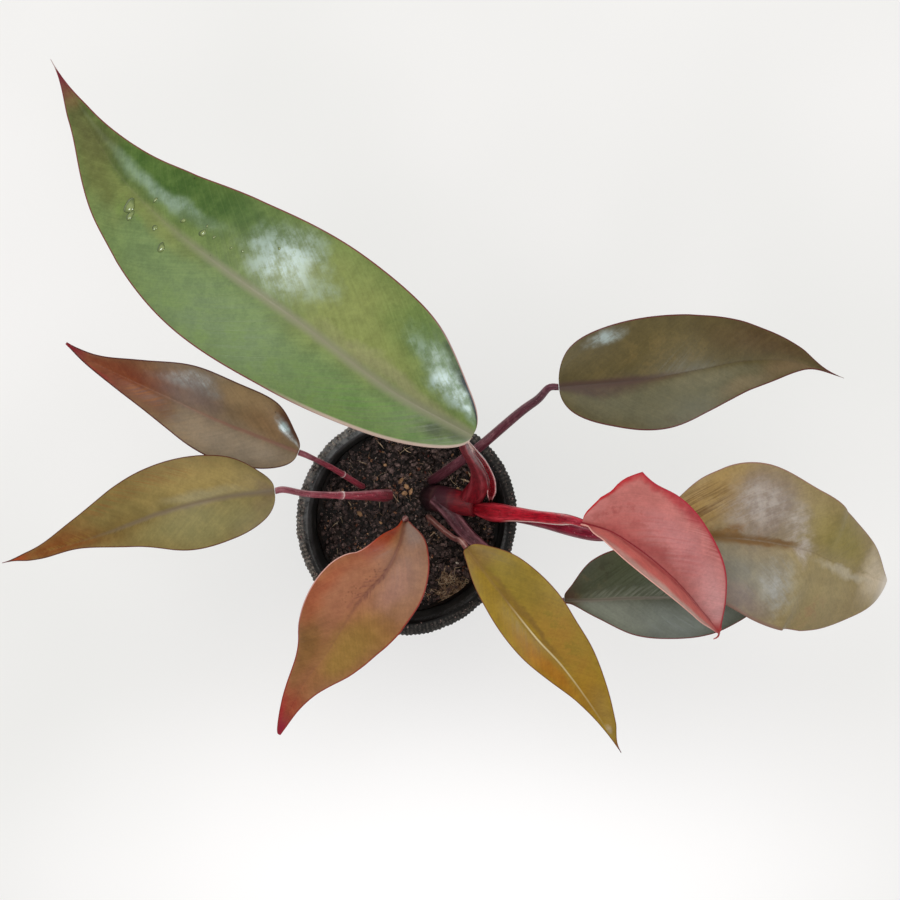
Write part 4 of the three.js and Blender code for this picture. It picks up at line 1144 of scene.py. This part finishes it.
def make_pot():
    rim_foot = POT_HEIGHT - RIM_DEPTH
    flange_foot = POT_HEIGHT - FLANGE
    slope_foot = POT_HEIGHT - RIM_SLOPE
    crest = (RIM_RADIUS + RIM_MOUTH_RADIUS) / 2
    skirt = RIM_RADIUS - RIB_DEPTH - WALL
    outer = inner_radius(flange_foot) + WALL
    # radius, height, and how deep the ribs are there
    profile = [
        (BASE_RADIUS - 6, 0, 0), (BASE_RADIUS - WALL, 0, 0), (BASE_RADIUS - 0.35, 0.35, 0),
        (BASE_RADIUS, WALL, 0),
        *[(BASE_RADIUS + (outer - BASE_RADIUS) * f, WALL + (flange_foot - WALL) * f, 0)
          for f in np.linspace(0.1, 0.99, 10)],
        (outer + 0.4, flange_foot, 0), (skirt - 0.3, flange_foot, 0), (skirt, flange_foot - 0.3, 0),
        (skirt, rim_foot + 0.2, 0), (skirt + 0.3, rim_foot, 0), (RIM_RADIUS - 0.3, rim_foot, 0.7),
        (RIM_RADIUS, rim_foot + 0.3, 1), (RIM_RADIUS, (rim_foot + slope_foot) / 2, 1),
        (RIM_RADIUS, slope_foot, 1), (RIM_RADIUS - 0.6, slope_foot + 0.8, 1),
        (RIM_RADIUS - 1.7, slope_foot + 1.7, 0.9),
        (crest + 0.6, POT_HEIGHT - 0.35, 0.8), (crest, POT_HEIGHT - 0.15, 0.8), (crest - 0.5, POT_HEIGHT, 0),
        (RIM_MOUTH_RADIUS + WALL, POT_HEIGHT, 0), (RIM_MOUTH_RADIUS + 0.35, POT_HEIGHT - 0.12, 0),
        (inner_radius(POT_HEIGHT - WALL), POT_HEIGHT - WALL, 0),
        *[(inner_radius(z), z, 0) for z in np.linspace(POT_HEIGHT - 2 * WALL, POT_FLOOR + 0.6, 10)],
        (inner_radius(POT_FLOOR) - 0.6, POT_FLOOR, 0), (BASE_RADIUS - 6, POT_FLOOR, 0),
    ]
    sides = RIB_COUNT * 4
    angle = turns(sides)
    tooth = 0.5 - 0.5 * np.cos(RIB_COUNT * angle)
    points = []
    # the rim of the old pot is dented and worn
    turn = np.degrees(signed(angle))
    dent = 0.4 + 2.0 * hump(turn, -93, 32) + 0.7 * hump(turn, 28, 22) - 1.2 * hump(turn, -15, 13)
    for radius, height, ribbed in profile:
        wear = 0.5 + 0.5 * lattice(angle * RIM_RADIUS, np.full(sides, 1.6 * height), 1.9, 31)
        reach = radius - RIB_DEPTH * ribbed * (0.6 * tooth + 0.6 * wear - 0.1)
        reach = reach + dent * np.clip((height - 88) / 12, 0, 1)
        level = np.full(sides, height)
        points.append(np.stack([reach * np.cos(angle), reach * np.sin(angle), level], axis=1))
    points.append([(0, 0, 0), (0, 0, POT_FLOOR)])
    form = Form()
    form.add(np.concatenate(points), fanned(len(profile), sides))
    drill(form.piece("pot_shell", pot_material(), "pot", "pot", sharp=40))


def drill(piece):
    """Cuts the drain holes through the floor of the pot."""
    holes = Form()
    for i in range(DRAIN_HOLES):
        turn = 2 * math.pi * (i + 0.5) / DRAIN_HOLES
        x, y = DRAIN_CIRCLE * math.cos(turn), DRAIN_CIRCLE * math.sin(turn)
        line = [(x, y, -2), (x, y, 2), (x, y, 6)]
        points, _, _ = tube(line, [DRAIN_RADIUS] * 3, HOLE_SIDES, 2, start=(1, 0, 0))
        holes.add(points, capped(3, HOLE_SIDES))
    cutter = placed("drill", holes.mesh("drill"))
    cut = piece.modifiers.new("drain", "BOOLEAN")
    cut.operation = "DIFFERENCE"
    cut.solver = "EXACT"
    cut.object = cutter
    bpy.context.view_layer.update()
    result = bpy.data.meshes.new_from_object(piece.evaluated_get(bpy.context.evaluated_depsgraph_get()))
    piece.modifiers.clear()
    piece.data = result
    bpy.data.objects.remove(cutter)


# Soil
def soil_height(x, y):
    mound = 1.0 * hump(np.hypot(x - 10, y - 8), 0, 22)
    lumps = 1.3 * lattice(x, y, 9.0, 3) + 0.9 * lattice(x, y, 3.6, 4) + 0.55 * lattice(x, y, 1.7, 5)
    grit = 0.35 * np.abs(lattice(x, y, 0.9, 6))
    return SOIL_LEVEL - 0.4 + mound + lumps + grit


def make_soil_bed():
    sides, rings = SOIL_SIDES, SOIL_RINGS
    foot = POT_FLOOR + GAP
    angle = turns(sides)
    circle = np.stack([np.cos(angle), np.sin(angle)], axis=1)
    rows = []
    for z in np.linspace(foot, SOIL_LEVEL - 4, 5):
        rows.append(np.concatenate([circle * (inner_radius(z) - GAP), np.full((sides, 1), z)], axis=1))
    outer = inner_radius(SOIL_LEVEL) - GAP - 0.15
    for i in range(rings):
        flat = circle * (outer * (1 - i / rings))
        rows.append(np.concatenate([flat, soil_height(flat[:, 0], flat[:, 1])[:, None]], axis=1))
    points = np.concatenate([*rows, [(0, 0, foot), on_soil(0.0, 0.0, 0.0)]])
    shade = 0.5 + 0.5 * lattice(points[:, 0], points[:, 1], 5.0, 8)
    form = Form()
    form.add(points, fanned(len(rows), sides), shade=shade)
    form.piece("soil_bed", soil_material("soil_bed", "0d0807", "2c1d15", 0.35), "soil", "soil")


# A lump is made from a ball of twenty triangles
GOLDEN = (1 + 5 ** 0.5) / 2
LUMP_POINTS = unit(np.array([(-1, GOLDEN, 0), (1, GOLDEN, 0), (-1, -GOLDEN, 0), (1, -GOLDEN, 0),
                             (0, -1, GOLDEN), (0, 1, GOLDEN), (0, -1, -GOLDEN), (0, 1, -GOLDEN),
                             (GOLDEN, 0, -1), (GOLDEN, 0, 1), (-GOLDEN, 0, -1), (-GOLDEN, 0, 1)], float))
LUMP_FACES = [(0, 11, 5), (0, 5, 1), (0, 1, 7), (0, 7, 10), (0, 10, 11), (1, 5, 9), (5, 11, 4),
              (11, 10, 2), (10, 7, 6), (7, 1, 8), (3, 9, 4), (3, 4, 2), (3, 2, 6), (3, 6, 8), (3, 8, 9),
              (4, 9, 5), (2, 4, 11), (6, 2, 10), (8, 6, 7), (9, 8, 1)]


def finer(points, faces):
    """Splits each triangle in four, with the new points on the unit sphere."""
    points = [tuple(p) for p in points]
    found = {}

    def between(a, b):
        key = (min(a, b), max(a, b))
        if key not in found:
            found[key] = len(points)
            points.append(tuple(unit(np.array(points[a]) + np.array(points[b]))))
        return found[key]

    split = []
    for a, b, c in faces:
        ab, bc, ca = between(a, b), between(b, c), between(c, a)
        split += [(a, ab, ca), (b, bc, ab), (c, ca, bc), (ab, bc, ca)]
    return np.array(points), split


FINE_LUMP = finer(LUMP_POINTS, LUMP_FACES)


def turned(random):
    """Random rotation as a matrix."""
    frame_of = np.linalg.qr(random.normal(size=(3, 3)))[0]
    return frame_of * np.sign(np.linalg.det(frame_of))


def lump(random, size, flat):
    points, faces = FINE_LUMP if size > 1.2 else (LUMP_POINTS, LUMP_FACES)
    rough = 1 + random.uniform(-0.24, 0.24, len(points))
    shape = np.array([random.uniform(0.75, 1.3), random.uniform(0.75, 1.3), flat])
    return (points * rough[:, None] * shape * size) @ turned(random).T, faces


def scatter(random, reach=SOIL_REACH):
    """A random place on the soil."""
    radius, turn = reach * math.sqrt(random.random()), random.uniform(0, 2 * math.pi)
    return radius * math.cos(turn), radius * math.sin(turn)


def on_soil(x, y, lift):
    return np.array([x, y, float(soil_height(np.array(x), np.array(y))) + lift])


def add_lump(form, random, x, y, size, flat=None, lift=0.35, least=0.0):
    points, faces = lump(random, size, random.uniform(0.5, 1.0) if flat is None else flat)
    shade = max(least, random.random() * (1 - 0.2 * min(size, 2.0)))
    form.add(points + on_soil(x, y, lift * size), faces, shade=np.full(len(points), shade))


def make_crumbs():
    random = np.random.default_rng(11)
    crumbs, bark, grit = Form(), Form(), Form()
    for _ in range(CRUMBS):
        add_lump(crumbs, random, *scatter(random), 0.3 + 1.6 * random.random() ** 3.5)
    for _ in range(CHIPS):
        add_lump(bark, random, *scatter(random), 0.3 + 0.9 * random.random() ** 2, 0.5, 0.9)
    for x, y, size in BARK:
        add_lump(bark, random, x, y, size, 0.6, 1.1, least=0.85)
    for _ in range(GRAINS):
        add_lump(grit, random, *scatter(random), 0.12 + 0.26 * random.random() ** 2, 0.8, 3.0)
    for x, y, size in GRIT:
        add_lump(grit, random, x, y, size, 0.7, 1.4, least=0.8)
    # soil caught on the rim
    for _ in range(RIM_CRUMBS):
        radius, turn = random.uniform(55.2, 59.3), random.uniform(0, 2 * math.pi)
        points, faces = lump(random, random.uniform(0.18, 0.55), 0.7)
        place = (radius * math.cos(turn), radius * math.sin(turn), rim_top(radius))
        crumbs.add(points + np.array(place), faces, shade=np.full(len(points), random.random()))
    crumbs.piece("soil_crumbs", soil_material("soil_crumbs", "160e0d", "a88c88", 0.5), "soil", sharp=50)
    bark.piece("soil_bark", soil_material("soil_bark", "602a22", "d8ac80", 0.6), "soil", sharp=50)
    grit.piece("soil_grit", soil_material("soil_grit", "9c8c7c", "f4ece2", 0.2), "soil")


def rim_top(radius):
    return POT_HEIGHT - 2.2 * (max(radius - 57, 0) / 3) ** 2


def strand(form, points, radius, shade):
    """A thin fibre through points, which thins out at its ends."""
    def thin(shares):
        return radius * (0.35 + 0.65 * np.sin(math.pi * shares))

    steps = 4 * (len(points) - 1)
    line, _, _ = tube(points, thin, FIBRE_SIDES, steps)
    form.add(line, capped(steps + 1, FIBRE_SIDES), shade=np.full(len(line), shade))


def make_fibres():
    random = np.random.default_rng(23)
    form = Form()
    for (x, y), (end_x, end_y), radius in FIBRES:
        middle = ((x + end_x) / 2 + random.uniform(-0.6, 0.6), (y + end_y) / 2 + random.uniform(-0.6, 0.6))
        line = [on_soil(x, y, 1.2), on_soil(*middle, 2.4), on_soil(end_x, end_y, 1.4)]
        strand(form, line, radius, 0.9)
    for _ in range(SHORT_FIBRES):
        x, y = scatter(random, SOIL_REACH - 2.5)
        turn = random.uniform(0, 2 * math.pi)
        ahead = np.array([math.cos(turn), math.sin(turn)]) * random.uniform(1.5, 4.5)
        aside = np.array([-math.sin(turn), math.cos(turn)]) * random.uniform(-1.2, 1.2)
        places = [(x, y) - ahead, (x, y) + aside, (x, y) + ahead]
        line = [on_soil(*place, random.uniform(0.3, 1.6)) for place in places]
        strand(form, line, random.uniform(0.07, 0.16), random.random())
    # the clump of coir at the front
    for _ in range(COIR_FIBRES):
        turn, reach = random.uniform(0, 2 * math.pi), COIR_REACH * math.sqrt(random.random())
        x, y = COIR[0] + reach * math.cos(turn), COIR[1] + reach * math.sin(turn)
        steps = random.normal(size=(4, 2)) * 1.5
        places = np.cumsum(np.concatenate([[(x, y)], steps]), axis=0)
        places *= np.minimum(1, SOIL_REACH / np.hypot(*places.T))[:, None]
        line = [on_soil(*place, random.uniform(0.6, 3.2)) for place in places]
        strand(form, line, random.uniform(0.09, 0.22), random.random())
    form.piece("soil_fibres", soil_material("soil_fibres", "7c5c44", "e8d0b0", 0.3), "soil")


def main():
    make_camera()
    make_studio()
    make_pot()
    make_soil_bed()
    make_crumbs()
    make_fibres()
    materials = {kind: stalk_material(kind) for kind in STALKS}
    for name, leaf in LEAVES.items():
        make_leaf(name, leaf)
        make_stalk(name, leaf, materials)
    make_stem()
    make_sheath()


# Camera, floor and lights
def make_camera():
    data = bpy.data.cameras.new("camera")
    data.sensor_width = SENSOR_WIDTH
    data.lens = CAMERA_LENS
    data.clip_start = 0.01
    camera = placed("camera", data)
    camera.location = CAMERA_PLACE
    bpy.context.scene.camera = camera


def floor_material():
    s = Shader("floor")
    cloud = s.noise(s.place(), 3.0, 2.0, 0.5)
    colour = s.mix(s.ease(cloud, 0.3, 0.7), tone("eaebea"), tone("f2f2f2"))
    # the floor glows, which keeps it evenly bright and washes out shadows on it; a painted pool of light
    # makes it brighter round a spot in front of the pot
    offset = s.vector("SUBTRACT", s.place(), (0.04, -0.24, 0.0))
    glow = s.vector("LENGTH", s.vector("MULTIPLY", offset, (2.6, 6.0, 0.0)))
    colour = s.mix(s.ease(glow, 1.0, 0.1), colour, (1.05, 1.05, 1.06, 1.0))
    base = s.mix(1.0, colour, (1 - FLOOR_GLOW,) * 3 + (1,), blend="MULTIPLY")
    return s.finish(colour=base, glow=colour, glow_strength=FLOOR_GLOW, rough=0.9, specular=0.1)


def area_light(name, toward, distance, size, radiance, code, glossy=True, diffuse=True):
    """Square soft light that looks at the plant from a direction, with a given brightness."""
    data = bpy.data.lights.new(name, "AREA")
    data.shape = "RECTANGLE"
    data.size, data.size_y = size
    data.color = tone(code)[:3]
    data.energy = radiance * math.pi * size[0] * size[1]
    item = placed(name, data)
    item.location = Vector(LIGHT_AIM) + Vector(toward).normalized() * distance
    item.rotation_euler = Vector(toward).to_track_quat("Z", "Y").to_euler()
    item.visible_camera = False
    item.visible_diffuse = diffuse
    item.visible_glossy = glossy


def make_world():
    world = bpy.data.worlds.new("world")
    bpy.context.scene.world = world
    world.use_nodes = True
    back = world.node_tree.nodes["Background"]
    back.inputs["Color"].default_value = tone("f4f5f6")
    back.inputs["Strength"].default_value = 0.30


def make_studio():
    bpy.context.scene.view_settings.view_transform = "Standard"
    floor = bpy.data.meshes.new("floor")
    half = FLOOR_SIZE / 2
    corners = [(-half, -half, 0), (half, -half, 0), (half, half, 0), (-half, half, 0)]
    floor.from_pydata(corners, [], [(0, 1, 2, 3)])
    floor.materials.append(floor_material())
    placed("floor", floor)
    make_world()
    area_light("dome", (0, 0, 1), 1.6, (4.0, 4.0), 0.92, "fff7ee", glossy=False)
    area_light("sky", (-0.15, 0.6, 0.8), 1.6, (1.5, 1.1), 2.1, "fff9f2", glossy=False)
    area_light("window_left", (-0.47, 0.27, 0.84), 1.2, (0.34, 0.30), 12.0, "f0fafd", diffuse=False)
    area_light("window_right", (0.62, -0.15, 0.77), 1.2, (0.34, 0.50), 14.0, "f0fafd", diffuse=False)


main()
